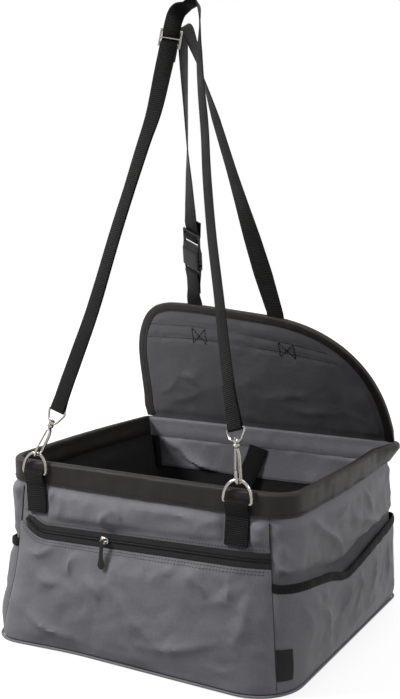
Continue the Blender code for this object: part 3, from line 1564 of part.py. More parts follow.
def buckle_socket():
    """The socket: a flat shell with side windows and a bar for the webbing."""
    wide = BUCKLE_WIDTH / 2.0
    deep = BUCKLE_DEPTH / 2.0
    bar = BUCKLE_BAR / 2.0
    shoulder = SOCKET_FOOT + BUCKLE_BAR + BUCKLE_SLOT
    body = loft("buckle_socket", rounded_rings(((SOCKET_FOOT, wide * 0.94, bar), (shoulder, wide, bar * 1.3),
                                                (shoulder + BUCKLE_BAR, wide, deep * 0.95),
                                                (-SOCKET_WALL, wide, deep), (0.0, wide * 0.97, deep * 0.9))),
                black_plastic, origin=buckle_point(0.0, 0.0, 0.0))
    inner = wide - SOCKET_WALL
    strap_half = REAR_STRAP_WIDTH / 2.0 + GAP * 2.0
    slot = buckle_box("socket_slot", (-strap_half, strap_half), (SOCKET_FOOT + BUCKLE_BAR, shoulder - GAP * 2.0),
                      (-deep * 1.1, deep * 1.1))
    low = -PRONG_LENGTH - GAP * 3.0
    high = -PRONG_LENGTH + BARB_LENGTH + GAP * 3.0
    half = [(inner, -SOCKET_BORE_DEPTH), (inner, low), (BUCKLE_WIDTH, low), (BUCKLE_WIDTH, high),
            (inner, high), (inner, SOCKET_WALL)]
    outline = half + [(-x, t) for x, t in reversed(half)]
    rings = [[buckle_point(x, t, n) for x, t in outline] for n in (-deep + SOCKET_WALL, deep - SOCKET_WALL)]
    bore = loft("socket_bore", rings, black_plastic)
    for tool in (slot, bore):
        combine(body, tool, "DIFFERENCE")
    return body


def buckle_plug():
    """The plug: shoulder, guide tongue and the ladder through which the webbing is threaded."""
    wide = BUCKLE_WIDTH / 2.0
    strap_half = REAR_STRAP_WIDTH / 2.0 + GAP * 2.0
    bar = BUCKLE_BAR
    thick = BUCKLE_DEPTH - 2.0 * SOCKET_WALL - GAP * 4.0
    rail = wide * 0.965
    xs = [-rail, -strap_half, strap_half, rail]
    low = PLUG_FIRST + PLUG_PITCH
    high = PLUG_FIRST + 2.0 * PLUG_PITCH
    ts = [PLUG_SHOULDER * 0.75, PLUG_FIRST + GAP, low - bar, low, high - bar, high]
    verts, faces = lattice(buckle_point, xs, ts, ((1, 1), (1, 3)), bar)
    body = finish("buckle_plug", verts, faces, black_plastic, origin=buckle_point(0.0, 0.0, 0.0))
    shoulder = loft("plug_shoulder", rounded_rings(((GAP, wide * 0.97, BUCKLE_DEPTH * 0.42),
                                                    (PLUG_FIRST, wide, bar * 0.8))), black_plastic)
    tongue = buckle_box("plug_tongue", (-TONGUE_WIDTH / 2.0, TONGUE_WIDTH / 2.0),
                        (-PRONG_LENGTH, PLUG_SHOULDER / 2.0), (-thick / 2.0, thick / 2.0))
    combine(body, shoulder, "UNION")
    combine(body, tongue, "UNION")
    return body


def prong_place(side):
    """A prong's middle line across the buckle, clear of the socket's side wall."""
    room = BUCKLE_WIDTH / 2.0 - SOCKET_WALL - GAP * 2.0
    return side * (room - PRONG_WIDTH / 2.0)


def buckle_prongs():
    """The two sprung arms whose barbs show in the socket's windows."""
    thick = BUCKLE_DEPTH - 2.0 * SOCKET_WALL - GAP * 4.0
    reach = BUCKLE_WIDTH / 2.0 + GAP
    for name, side in (("buckle_prong_left", LEFT), ("buckle_prong_right", RIGHT)):
        middle = prong_place(side)
        inner = middle - side * PRONG_WIDTH / 2.0
        outer = middle + side * PRONG_WIDTH / 2.0
        barb = -PRONG_LENGTH + BARB_LENGTH
        rows = ((-GAP, outer), (barb, outer), (barb, side * reach),
                (-PRONG_LENGTH + BARB_LENGTH * 0.4, side * reach),
                (-PRONG_LENGTH, outer - side * PRONG_WIDTH * 0.2))
        outline = [(x, t) for t, x in rows] + [(inner, -PRONG_LENGTH), (inner, -GAP)]
        rings = [[buckle_point(x, t, n) for x, t in outline] for n in (-thick / 2.0, thick / 2.0)]
        loft(name, rings, black_plastic, origin=buckle_point(middle, -GAP, 0.0))


def rear_strap_line():
    """The long webbing's middle line and its direction across, from the right anchor to the plug."""
    places = flap_run(ANCHOR_RIGHT, RIGHT_LEG_FOOT, FLAP_RIGHT_HEIGHT)
    controls = [flap(x, rise, -ANCHOR_OUT) for x, rise in places]
    across = [flap_across(x, rise) for x, rise in places]
    rise = (rear_plane(0.0, REAR_APEX_HEIGHT) - rear_plane(0.0, buckle_height())).normalized()
    right_edge = REAR_APEX_SHIFT + REAR_APEX_HALF
    left_edge = REAR_APEX_SHIFT - REAR_APEX_HALF
    foot = controls[-1]
    lag = foot.y - rear_plane(0.0, foot.z).y
    for share, degrees in REAR_RIGHT_SHARES:
        height = blend_value(foot.z, REAR_APEX_HEIGHT, share)
        place = rear_plane(blend_value(RIGHT_LEG_FOOT, right_edge, share), height)
        controls.append(place + Vector((0.0, lag * (1.0 - share), 0.0)))
        across.append(turned_across(rise, degrees))
    top = REAR_APEX_HEIGHT
    for edge, height in ((right_edge, top - REAR_APEX_HALF), (REAR_APEX_SHIFT, top),
                         (left_edge, top - REAR_APEX_HALF)):
        controls.append(rear_plane(blend_value(edge, REAR_APEX_SHIFT, 0.15), height))
        across.append(turned_across(rise, 89.0))
    plug = buckle_point(0.0, PLUG_HIGH_BAR, 0.0)
    for share, degrees in REAR_LEFT_SHARES:
        height = blend_value(top - REAR_APEX_HALF, plug.z, share)
        controls.append(rear_plane(blend_value(left_edge, plug.x, share), height))
        across.append(turned_across(rise, degrees))
    flat = len(places) - 1
    free = curve_through(controls[flat:], 3)
    ways = across[:flat]
    for i in range(len(free)):
        low, part = divmod(i, 3)
        low += flat
        ways.append(across[low].lerp(across[min(low + 1, len(across) - 1)], part / 3.0).normalized())
    return controls[:flat] + free, ways


def rear_strap():
    """The long webbing: over the high bar, round the low bar and back out as a short tail."""
    line, across = rear_strap_line()
    half = (WEBBING + GAP) / 2.0
    ladder = [buckle_point(0.0, PLUG_HIGH_BAR + BAR_TURN * LADDER_RUN_SHARE, -half)]
    turns = [(PLUG_HIGH_BAR, degrees) for degrees in (50.0, 15.0, -15.0, -45.0)]
    turns += [(PLUG_LOW_BAR, degrees) for degrees in around(-225.0, 15.0, 8)]
    for bar, degrees in turns:
        turn = math.radians(degrees)
        ladder.append(buckle_point(0.0, bar + BAR_TURN * math.sin(turn), -BAR_TURN * math.cos(turn)))
    lift = -(BAR_TURN + WEBBING + GAP * 2.0)
    ladder += [buckle_point(0.0, PLUG_HIGH_BAR - BAR_TURN, lift), buckle_point(0.0, PLUG_HIGH_BAR, lift),
               buckle_point(0.0, PLUG_HIGH_BAR + SEWN_BACK * 0.5, lift - WEBBING)]
    across += [buckle_frame()[2]] * len(ladder)
    return strap("rear_strap", line + ladder, across, REAR_STRAP_WIDTH, WEBBING, black_webbing,
                 origin=hinge_line())


# Safety tether

def tether_pivot():
    top = RIM_TOP - CHANNEL_HEIGHT
    place = REAR + 0.5
    middle = wall(place, top, ARCH_IN - GAP * 2.0 - WEBBING / 2.0)
    return Vector((TETHER_TOP_SHIFT, middle.y, middle.z))


def safety_tether():
    """The webbing inside the basket that the dog's harness is clipped to."""
    pivot = tether_pivot()
    drop = pivot.z - TETHER_BOTTOM
    points = []
    for down, drift, forward in TETHER_SHARES:
        height = pivot.z - drop * down
        back = wall(REAR + 0.5, height, ARCH_IN - GAP * 2.0 - WEBBING / 2.0)
        points.append((pivot.x + TETHER_DRIFT * drift, back.y - TETHER_STAND_OFF * forward, height))
    line = points[:1] + curve_through(points[1:], 3)
    tilt = Vector((1.0, 0.0, TETHER_DRIFT / drop)).normalized()
    return strap("safety_tether", line, [tilt] * len(line), TETHER_WIDTH, WEBBING, black_webbing,
                 origin=pivot)


def clear_scene():
    for old in list(bpy.data.objects):
        bpy.data.objects.remove(old, do_unlink=True)


def build():
    clear_scene()
    outer_walls()
    foam_walls()
    lining_walls()
    base_panel()
    base_board()
    floor_lining()
    base_piping()
    rim_binding()
    rear_channel()
    rim_tube()
    back_facing()
    facing_bindings()
    zip_strips()
    front_pocket()
    zip_slider()
    zip_puller()
    side_pockets()
    pocket_elastics()
    side_label()
    ring_tabs()
    d_rings()
    hook_bodies()
    hook_gates()
    hook_eyes()
    front_strap()
    tri_glide()
    flap_layers()
    flap_binding()
    rear_strap_stub()
    buckle_socket()
    buckle_plug()
    buckle_prongs()
    rear_strap()
    safety_tether()


build()
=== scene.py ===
"""Dog car seat: the cloth, webbing, thread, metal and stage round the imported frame.

Metres, +Z up, +X to the right of someone who faces the zip pocket, -Y towards them.
"""

import math
from functools import cache

import bpy
import numpy as np
from bpy.props import FloatProperty, FloatVectorProperty, IntProperty, PointerProperty
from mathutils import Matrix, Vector


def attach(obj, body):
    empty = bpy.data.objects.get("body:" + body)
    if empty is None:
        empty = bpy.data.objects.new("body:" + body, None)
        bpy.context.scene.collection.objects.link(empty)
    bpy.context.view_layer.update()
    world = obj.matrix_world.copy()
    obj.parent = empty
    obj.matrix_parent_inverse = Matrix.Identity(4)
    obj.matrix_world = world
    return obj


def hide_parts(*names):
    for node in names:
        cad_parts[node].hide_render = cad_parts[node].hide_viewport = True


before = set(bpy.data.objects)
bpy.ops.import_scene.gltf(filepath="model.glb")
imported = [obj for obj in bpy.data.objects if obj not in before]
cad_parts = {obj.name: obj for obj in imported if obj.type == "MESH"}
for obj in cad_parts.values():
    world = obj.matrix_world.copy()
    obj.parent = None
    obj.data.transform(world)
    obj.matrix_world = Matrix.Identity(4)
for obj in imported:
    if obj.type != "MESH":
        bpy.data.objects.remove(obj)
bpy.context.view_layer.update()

bl_info = {
    "name": "Dog car seat",
    "version": (1, 0, 0),
    "blender": (4, 5, 0),
    "location": "3D View > Sidebar > Dog car seat",
    "description": "Cloth, webbing, thread and metal of a soft dog car seat",
    "category": "Object",
}

# Sizes of the seat, nearly all as its frame has them
GAP = 0.0003
SEAM_GAP = 0.0006
CLOTH = 0.0012
LINING = 0.0010
FOAM = 0.0040
BOARD = 0.0030
BASE_HALF_WIDTH = 0.2000
BASE_FRONT = 0.1955
BASE_REAR = 0.2020
BASE_SHIFT = -0.0025
BASE_NEAR_CORNER = 0.056
BASE_LEFT_CORNER = 0.040
BASE_REAR_CORNER = 0.022
FOOT_REACH_LEFT = 0.0055
FOOT_REACH_FRONT = 0.0100
FOOT_REACH_HEIGHT = 0.110
RIM_TOP = 0.230
RIM_HALF_WIDTH = 0.205
RIM_FRONT = 0.168
RIM_REAR = 0.187
RIM_FRONT_CORNER = 0.035
RIM_REAR_CORNER = 0.014
RIM_BULGE = 0.006
RIM_SHIFT = -0.006
REAR_SHIFT = -0.010
RIM_REACH_RIGHT = 0.0175
PIPING_RADIUS = 0.0016
PIPING_LIFT = 0.0005
BINDING = 0.0012
BINDING_HEIGHT = 0.028
CHANNEL_HEIGHT = 0.031
FACING_BOTTOM = 0.150
FACING_EDGE = 0.024
FACING_INSET = 0.050
ZIP_HEIGHT = 0.1412
ZIP_LEFT = -0.170
ZIP_RIGHT = 0.1805
ZIP_CURVE_LENGTH = 0.036
ZIP_CURVE_RISE = 0.016
ZIP_RISE_SHARE = 0.035
ZIP_TAPE = 0.0007
ZIP_STAND = 0.0005
ZIP_TAPE_WIDTH = 0.0066
COIL_WIDTH = 0.0040
COIL_DEPTH = 0.0018
POCKET_SWELL = 0.006
POCKET_STAND = 0.0007
LEFT_POCKET_HEIGHT = 0.116
LEFT_POCKET_REAR = 0.108
LEFT_POCKET_SAG = 0.024
RIGHT_POCKET_HEIGHT = 0.118
SIDE_POCKET_SWELL = 0.015
ELASTIC_HEIGHT = 0.0106
ELASTIC_DEPTH = 0.0020
LABEL_WIDTH = 0.018
LABEL_HEIGHT = 0.036
LABEL_BOTTOM = 0.0180
LABEL_DEPTH = 0.0008
WEBBING = 0.0014
TAB_WIDTH = 0.030
TAB_BOTTOM = 0.166
TAB_SHIFT = -0.012
TAB_SPREAD = 0.1455
TAB_LEAN = 0.0055
RING_WIRE = 0.0020
RING_RISE = 0.026
RING_BAR_DROP = 0.0145
EYE_WIRE = 0.0014
LEFT_EYE = -0.1300
RIGHT_EYE = 0.1235
EYE_RISE = 0.056
FRONT_STRAP_WIDTH = 0.022
FRONT_APEX_RISE = 0.562
FRONT_APEX_BACK = 0.116
FRONT_APEX_SHIFT = 0.000
FRONT_APEX_HALF = 0.0200
FRONT_APEX_DROP = 0.010
SEWN_BACK = 0.035
GLIDE_BAR = 0.0024
GLIDE_PITCH = 0.010
FLAP_LEFT_LEAN_DEG = 4.0
FLAP_RIGHT_LEAN_DEG = 32.0
FLAP_LEFT_PLACE = -0.228
FLAP_RIGHT_PLACE = 0.194
FLAP_HEIGHT = 0.1940
FLAP_RIGHT_HEIGHT = 0.1925
FLAP_LEFT = -0.2300
FLAP_RIGHT = 0.1990
FLAP_DRAW = 0.0110
FLAP_DRAW_START = 0.030
FLAP_DRAW_RISE = 0.110
FLAP_LEFT_CENTRE = -0.100
FLAP_RIGHT_CENTRE = 0.0
FLAP_FOLD_LEFT = -0.203
FLAP_FOLD_RIGHT = 0.172
FLAP_FAN = -0.170
FLAP_SIDE_START = 0.020
FLAP_BOARD = 0.0020
FLAP_CLOTH = 0.0010
FLAP_BINDING = 0.0010
FLAP_BINDING_WIDTH = 0.0110
REAR_STRAP_WIDTH = 0.030
REAR_APEX_HEIGHT = 0.782
REAR_APEX_PLACE = -0.0265
REAR_APEX_SHIFT = -0.0220
REAR_APEX_HALF = 0.0045
ANCHOR_LOW = 0.125
ANCHOR_LEFT = -0.108
ANCHOR_RIGHT = 0.040
LEFT_LEG_FOOT = -0.108
RIGHT_LEG_FOOT = 0.042
STRAP_CLEAR = 0.005
BUCKLE_RISE = 0.0793
BUCKLE_TURN_DEG = 25.0
SOCKET_LENGTH = 0.040
BUCKLE_BAR = 0.0030
PLUG_SHOULDER = 0.0080
PLUG_PITCH = 0.0100
TETHER_WIDTH = 0.030
TETHER_TOP_SHIFT = -0.0145
TETHER_DRIFT = -0.048
TETHER_BOTTOM = 0.075
TETHER_STAND_OFF = 0.010

FOLD_SLOPE = 0.10
FOOT_REACH_SHARE = 0.34
RIM_REACH_SHARE = 0.22
RIGHT_POCKET_SHARES = ((0.0, 1.0), (0.12, 1.0), (0.24, 0.955), (0.37, 0.845), (0.50, 0.885), (0.63, 0.935),
                       (0.76, 0.955), (1.0, 0.960))
LEFT_SWELL_SHARES = (0.03, 0.72, 0.64, 0.45)
RIGHT_SWELL_SHARES = (0.03, 0.50, 0.80, 1.0)
SWELL_POWER = 0.5
FLAP_LEFT_POWER = 0.4545
FLAP_RIGHT_POWER = 0.6897
GLIDE_SHARE = 0.910
NEAR_EYE_SHARE = 0.030
FREE_RUN_SHARE = 0.075
OVER_TOP_SHARE = 0.80
TOP_FRAME_SHARE = 0.955
LADDER_RUN = 2.2
FRONT_LEFT_SHARES = ((0.0, 0.0), (0.079, 0.062), (0.184, 0.137), (0.345, 0.256), (0.533, 0.435),
                     (0.660, 0.545), (0.787, 0.655), (0.885, 0.735), (0.945, 0.830), (0.985, 0.895),
                     (1.015, 0.950))
FRONT_RIGHT_SHARES = ((0.0, 0.0), (0.179, 0.130), (0.374, 0.294), (0.543, 0.432), (0.687, 0.573),
                      (0.777, 0.681), (0.891, 0.791), (0.965, 0.880), (1.0, 0.950))
REAR_RIGHT_SHARES = ((0.15, 3.0), (0.28, 11.0), (0.40, 24.0), (0.52, 34.0), (0.70, 40.0), (0.84, 58.0),
                     (0.94, 82.0))
REAR_LEFT_SHARES = ((0.15, 82.0), (0.32, 73.0), (0.52, 64.0), (0.70, 47.0), (0.86, 34.0), (0.95, 27.0))
TETHER_SHARES = ((0.0, 0.0, 0.0), (0.05, 0.03, 0.0), (0.16, 0.14, 0.05), (0.35, 0.35, 0.35),
                 (0.60, 0.62, 0.8), (0.82, 0.86, 1.0), (1.0, 1.0, 0.9))
FRONT_RIGHT_TURNS = ((0.0, -18.0), (0.06, -26.0), (0.30, -33.0), (0.55, -35.0), (0.69, -37.0), (0.84, -44.0),
                     (0.92, -60.0), (1.0, -90.0))
FRONT_LEFT_TURNS = ((0.0, -182.0), (0.15, -186.0), (0.35, -194.0), (0.55, -197.0), (0.68, -190.0),
                    (0.78, -172.0), (0.88, -154.0), (0.952, -154.0), (0.98, -115.0), (1.0, -90.0))

# Relief, sewing and stage, which the scene alone has
STATION_SPACE = 0.004
THREAD_STAND = 0.0003
POCKET_HEM_ROWS = (0.983, 0.957)
STITCH_CROSSES = ((-0.101, 0.135, 0.159, 0.0125), (0.056, 0.132, 0.155, 0.0125))
TOOTH_STATIONS = ((0.98, 0.35, 0.30), (0.6, 0.95, 0.36), (0.0, 1.0, 0.42), (-0.42, 0.75, 0.48), (-0.55, 0.30, 0.40))
RIPPLE_CRISP = 0.75
FOLD_HEIGHT = 1.6
RELIEF_MIDDLE = 0.35
CAMERA_PLACE = (0.61683, -1.10510, 0.49986)
CAMERA_TURNS_DEG = (83.964, 0.0, 29.739)
FLOOR_HALF = 6.0
TOOTH_LEVELS = ((0.05, 1.0), (0.75, 1.0), (1.0, 0.55))
SELVEDGE = 0.0006
STRIP_GRID = 0.0042
# Radius of the dark cords that paint shade into the front corner seams
SEAM_SHADE_RADIUS = 0.0009
DIMPLE_WIDTH = 0.0022
RIM_SEWING_RISE = 0.0032
TAPE_SEWING_INSET = 0.0022
FACING_RELIEF = 0.0055
TETHER_ROOM_MIDDLE = 0.205
TETHER_ROOM_HALF = 0.045
LARGE_FACET = 0.040
SMALL_FACET = 0.020
FACET_COUNT = 64
FACET_BEND = 0.36
FACET_SKEW = 0.35

# Counts, sides and names
CORNER_STEPS = 24
LEFT, RIGHT = -1, 1
FRONT, RIGHT_SIDE, REAR, LEFT_SIDE = range(4)
SIDES = (("front", FRONT), ("right", RIGHT_SIDE), ("rear", REAR), ("left", LEFT_SIDE))
X_AXIS = Vector((1.0, 0.0, 0.0))
UV_NAME = "cloth"


# Sizes and colours that a user may change

def tint(name, description, default):
    return FloatVectorProperty(name=name, description=description, subtype="COLOR", size=3, min=0.0, max=1.0,
                               default=default)


def distance(name, description, default, least):
    return FloatProperty(name=name, description=description, subtype="DISTANCE", unit="LENGTH", min=least,
                         default=default)


def power(name, description, default):
    return FloatProperty(name=name, description=description, subtype="POWER", unit="POWER", min=0.0,
                         default=default)


class SeatCloth(bpy.types.PropertyGroup):
    """Colours and relief of the cloth."""
    grey: tint("Grey cloth", "Colour of the outer cloth", (0.128, 0.128, 0.140))
    binding: tint("Binding", "Colour of the rim and flap binding", (0.0100, 0.0080, 0.0070))
    lining: tint("Lining", "Colour of the lining", (0.0055, 0.0053, 0.0055))
    webbing: tint("Webbing", "Colour of the straps", (0.0036, 0.0032, 0.0030))
    weave_pitch: distance("Weave pitch", "Distance between threads of the grey cloth", 0.0008, 0.0003)
    crease: distance("Crease height", "Height of the soft creases in the outer cloth", 0.0070, 0.0)
    grid: distance("Cloth grid", "Size of the faces of the cloth", 0.0033, 0.002)
    seed: IntProperty(name="Seed", description="Start of the soft creases' pattern", default=7)


class SeatThread(bpy.types.PropertyGroup):
    """Sizes and colours of the stitches."""
    length: distance("Stitch length", "Length of one stitch", 0.0030, 0.001)
    space: distance("Space", "Space between two stitches", 0.0013, 0.0002)
    radius: distance("Thread radius", "Radius of the sewing thread", 0.00050, 0.0001)
    # The grey thread is dark: partly its own colour, partly painted shade of the stitch holes.
    grey: tint("Grey thread", "Thread in the grey cloth", (0.045, 0.045, 0.048))
    black: tint("Black thread", "Thread in the black binding", (0.0030, 0.0028, 0.0028))


class SeatHardware(bpy.types.PropertyGroup):
    """Finish of the metal and plastic pieces."""
    nickel: tint("Nickel", "Colour of the plated metal", (0.34, 0.32, 0.29))
    plastic: tint("Plastic", "Colour of the black plastic", (0.0050, 0.0050, 0.0055))
    tooth_pitch: distance("Tooth pitch", "Distance between the zip's teeth", 0.0015, 0.0008)


class SeatStage(bpy.types.PropertyGroup):
    """Camera, floor and light."""
    lens: FloatProperty(name="Lens", description="Focal length on a 36 mm sensor, in millimetres",
                        min=10.0, default=49.02)
    floor: tint("Floor", "Colour of the floor", (0.28, 0.28, 0.28))
    floor_white: FloatProperty(name="Floor white", description="White added to the floor for the camera",
                               min=0.0, default=0.78)
    key: power("Key light", "Power of the main lamp", 30.5)
    fill: power("Fill light", "Power of the filling lamp", 34.0)
    sky: FloatProperty(name="Sky", description="Strength of the light from all round", min=0.0, default=0.16)


# Numbers

def lerp(low, high, share):
    return low + (high - low) * share


def smooth(share):
    share = np.clip(share, 0.0, 1.0)
    return share * share * (3.0 - 2.0 * share)


def inside(share, width):
    """1 within a run of shares, 0 at both ends of it."""
    return smooth(np.minimum(share, 1.0 - share) / width)


def steps(first, last, count):
    return [lerp(first, last, i / count) for i in range(count + 1)]


def turned(degrees):
    """The cosine and the sine of each angle."""
    return [(math.cos(math.radians(angle)), math.sin(math.radians(angle))) for angle in degrees]


def arrays(*values):
    """The values as arrays of one shape."""
    return np.broadcast_arrays(*(np.asarray(value, float) for value in values))


def run_along(points):
    """Metres along a line of points, from its first."""
    return np.concatenate([[0.0], np.cumsum(np.linalg.norm(np.diff(points, axis=0), axis=1))])


def at_run(points, run, at):
    """Places on a line of points, at metres along it."""
    return np.stack([np.interp(at, run, column) for column in points.T], axis=-1)


def dense(points, count):
    """A line with evenly spread points."""
    points = np.asarray(points, float)
    run = run_along(points)
    return at_run(points, run, np.linspace(0.0, run[-1], count))


def curve_through(points, count):
    """A Catmull-Rom curve through the points, with a count of steps in each span."""
    points = [Vector(p) for p in points]
    ends = [points[0] * 2.0 - points[1]] + points + [points[-1] * 2.0 - points[-2]]
    found = []
    for i in range(1, len(ends) - 2):
        a, b, c, d = ends[i - 1:i + 3]
        for t in steps(0.0, 1.0, count)[:-1]:
            found.append(0.5 * ((2.0 * b) + (c - a) * t + (2.0 * a - 5.0 * b + 4.0 * c - d) * t ** 2
                                + (3.0 * b - 3.0 * c + d - a) * t ** 3))
    return found + [points[-1]]


class Ripples:
    """Soft relief over a cloth, from 0 to 1, at metres along and up it."""

    def __init__(self, seed, coarse, fine, count=12):
        rng = np.random.default_rng(seed)
        angle = rng.uniform(0.0, math.pi, count)
        length = np.exp(rng.uniform(math.log(fine), math.log(coarse), count))
        self.along = 2.0 * math.pi / length * np.cos(angle)
        self.up = 2.0 * math.pi / length * np.sin(angle)
        self.phase = rng.uniform(0.0, 2.0 * math.pi, count)
        self.size = length / length.sum()

    def __call__(self, s, z):
        s, z = (s + 0.009 * np.sin(z * 47.0 + s * 21.0 + self.phase[0]),
                z + 0.009 * np.sin(s * 39.0 - z * 17.0 + self.phase[1]))
        total = 0.0
        for size, a, b, phase in zip(self.size, self.along, self.up, self.phase):
            wave = np.sin(s * a + z * b + phase)
            total = total + size * lerp(wave, np.arcsin(wave * 0.99) * 0.64, RIPPLE_CRISP)
        return np.clip(0.42 + total * 1.3, 0.0, 1.0)


def facets(seed, s, z, pitch):
    """The crisp facets of a cloth that was folded up, from 0 to 1: a bent grid of random heights."""
    rng = np.random.default_rng(seed + 500)
    heights = rng.uniform(0.0, 1.0, (FACET_COUNT, FACET_COUNT))
    flipped = rng.uniform(0.0, 1.0, (FACET_COUNT, FACET_COUNT)) < 0.5
    p, wide, bend = rng.uniform(0.0, 6.3, 6), pitch * FACET_BEND, 2.0 * math.pi / pitch
    s, z = (s + wide * (np.sin(z * bend * 0.31 + p[0]) + 0.6 * np.sin(s * bend * 0.43 + z * bend * 0.22 + p[1])),
            z + wide * (np.sin(s * bend * 0.27 + p[2]) + 0.6 * np.sin(z * bend * 0.47 - s * bend * 0.19 + p[3])))
    a, b = (s + z * FACET_SKEW) / pitch + 20.0, (z - s * FACET_SKEW) / pitch + 20.0
    i, j = (np.floor(way).astype(int) % (FACET_COUNT - 1) for way in (a, b))
    a, b = a - np.floor(a), b - np.floor(b)
    low, right, up, far = heights[i, j], heights[i + 1, j], heights[i, j + 1], heights[i + 1, j + 1]
    plain = np.where(a > b, low + (right - low) * a + (far - right) * b, low + (up - low) * b + (far - up) * a)
    c = 1.0 - a
    other = np.where(c > b, right + (low - right) * c + (up - low) * b,
                     right + (far - right) * b + (up - far) * c)
    return np.where(flipped[i, j], other, plain)


def creased(seed, s, z, lines):
    """The whole relief of a cloth: soft waves, crisp facets and the folds that are listed."""
    crumple = 0.62 * facets(seed, s, z, LARGE_FACET) + 0.38 * facets(seed + 1, s, z, SMALL_FACET)
    return Ripples(seed, 0.12, 0.035)(s, z) * 0.25 + crumple * 1.15 + folds(s, z, lines) * FOLD_HEIGHT


def folds(s, z, lines):
    """Crisp folds from place to place on a cloth: ridges or, below 0, grooves."""
    total = np.zeros(np.shape(s))
    for start, end, width, height in lines:
        run, rise = end[0] - start[0], end[1] - start[1]
        share = np.clip(((s - start[0]) * run + (z - start[1]) * rise) / (run * run + rise * rise), 0.0, 1.0)
        bow = 0.004 * np.sin(share * 5.0 + start[0] * 90.0) / math.hypot(run, rise)
        far = np.hypot(s - start[0] - share * run + bow * rise, z - start[1] - share * rise - bow * run)
        total = total + height * np.exp(-far / width / 0.85) * np.sin(math.pi * np.clip(share, 0.08, 0.92))
    return total


# The basket's wall

class Outline:
    """A rounded rectangle seen from above, walked by length from the front-left corner."""

    def __init__(self, half_width, front, rear, corners, bulge, shift, rear_shift):
        points, self.marks = [], []
        near, far, far_left, near_left = corners
        for x, y, radius, start, end, way in (
                (half_width - near, -front + near, near, -90.0, rear - far, 1),
                (half_width - far, rear - far, far, 0.0, 0.0, 0),
                (-half_width + far_left, rear - far_left, far_left, 90.0, -front + near_left, -1),
                (-half_width + near_left, -front + near_left, near_left, 180.0, 0.0, 0)):
            first = len(points)
            points += [(x + radius * c, y + radius * s) for c, s in turned(steps(start, start + 90.0, CORNER_STEPS))]
            self.marks += [first, len(points) - 1]
            if way:
                here_x, here_y = points[-1]
                points += [(here_x + bulge * math.sin(math.pi * share) * way, lerp(here_y, end, share))
                           for share in steps(0.0, 1.0, CORNER_STEPS)[1:-1]]
        points = np.array(points)
        points[:, 0] += shift + rear_shift * (points[:, 1] + front) / (front + rear)
        ahead = np.roll(points, -1, axis=0) - np.roll(points, 1, axis=0)
        normals = np.stack([ahead[:, 1], -ahead[:, 0]], axis=1)
        normals /= np.linalg.norm(normals, axis=1)[:, None]
        rows = np.hstack([points, normals])
        self.rows = np.vstack([rows, rows[:1]])
        self.lengths = run_along(self.rows[:, :2])
        self.total = self.lengths[-1]

    def seams(self, at_corner_start):
        ends = self.lengths[self.marks]
        middles = (ends[::2] + ends[1::2]) / 2.0
        first, second = (ends[7], ends[0]) if at_corner_start else (middles[3], middles[0])
        return np.array([first - self.total, second, middles[1], middles[2]])

    def at(self, length):
        return np.array([np.interp(length % self.total, self.lengths, column) for column in self.rows.T])


BASE = Outline(BASE_HALF_WIDTH, BASE_FRONT, BASE_REAR,
               (BASE_NEAR_CORNER, BASE_REAR_CORNER, BASE_REAR_CORNER, BASE_LEFT_CORNER), 0.0, BASE_SHIFT, 0.0)
RIM = Outline(RIM_HALF_WIDTH, RIM_FRONT, RIM_REAR,
              (RIM_FRONT_CORNER, RIM_REAR_CORNER, RIM_REAR_CORNER, RIM_FRONT_CORNER),
              RIM_BULGE, RIM_SHIFT, REAR_SHIFT)
NEAR_SEAM = np.array([0.0, 0.0050, 0.0, 0.0])
BASE_SEAMS = BASE.seams(False) + NEAR_SEAM
RIM_SEAMS = RIM.seams(True) + NEAR_SEAM

WALL_IN = -(CLOTH + GAP + FOAM + GAP + LINING)
WALL_LOW = CLOTH + GAP
ARCH_OUT = GAP + BINDING
ARCH_IN = WALL_IN - GAP - BINDING
ARCH_RADIUS = (ARCH_OUT - ARCH_IN) / 2.0
ARCH_CENTRE = (ARCH_OUT + ARCH_IN) / 2.0
ARCH_HEIGHT = RIM_TOP - ARCH_RADIUS
WALL_TOP = ARCH_HEIGHT - (ARCH_RADIUS - BINDING - GAP) - GAP
POCKET_LOW = PIPING_LIFT + 2.0 * PIPING_RADIUS + GAP
LINING_OUT = -CLOTH - GAP - FOAM - GAP
POCKET_REACH = COIL_WIDTH / 2.0 + GAP + ZIP_TAPE_WIDTH + 2.0 * GAP
RING_BAR_HEIGHT = RIM_TOP - RING_BAR_DROP
RING_BAR_OUT = ARCH_OUT + GAP + WEBBING + GAP + RING_WIRE


def seam_length(outline, seams, place):
    side = np.floor(place).astype(int)
    ends = [seams[(side + k) % 4] + (side + k) // 4 * outline.total for k in (0, 1)]
    return lerp(ends[0], ends[1], place - side)


def corner_share(place, seam, spread):
    away = np.abs((place - seam + 2.0) % 4.0 - 2.0)
    return smooth(1.0 - away / spread)


def wall(place, height, out):
    """Points of the wall: the side and the share along it, the height, and how far out."""
    place, height, out = arrays(place, height, out)
    low = BASE.at(seam_length(BASE, BASE_SEAMS, place))
    high = RIM.at(seam_length(RIM, RIM_SEAMS, place))
    x, y, nx, ny = low + (high - low) * (height / RIM_TOP)
    size = np.hypot(nx, ny)
    foot = corner_share(place, FRONT, FOOT_REACH_SHARE) * (1.0 - smooth(height / FOOT_REACH_HEIGHT))
    start = RIM_TOP - CHANNEL_HEIGHT
    rim = corner_share(place, REAR, RIM_REACH_SHARE) * np.clip((height - start) / (WALL_TOP - start), 0.0, 1.0)
    x = x + RIM_REACH_RIGHT * rim - FOOT_REACH_LEFT * foot
    y = y - FOOT_REACH_FRONT * foot
    return np.stack([x + nx / size * out, y + ny / size * out, height], axis=-1)


def side_length(side, height=RIM_TOP):
    ends = np.array([side, side + 1.0])
    low, high = (float(np.diff(seam_length(outline, seams, ends))[0])
                 for outline, seams in ((BASE, BASE_SEAMS), (RIM, RIM_SEAMS)))
    return lerp(low, high, height / RIM_TOP)


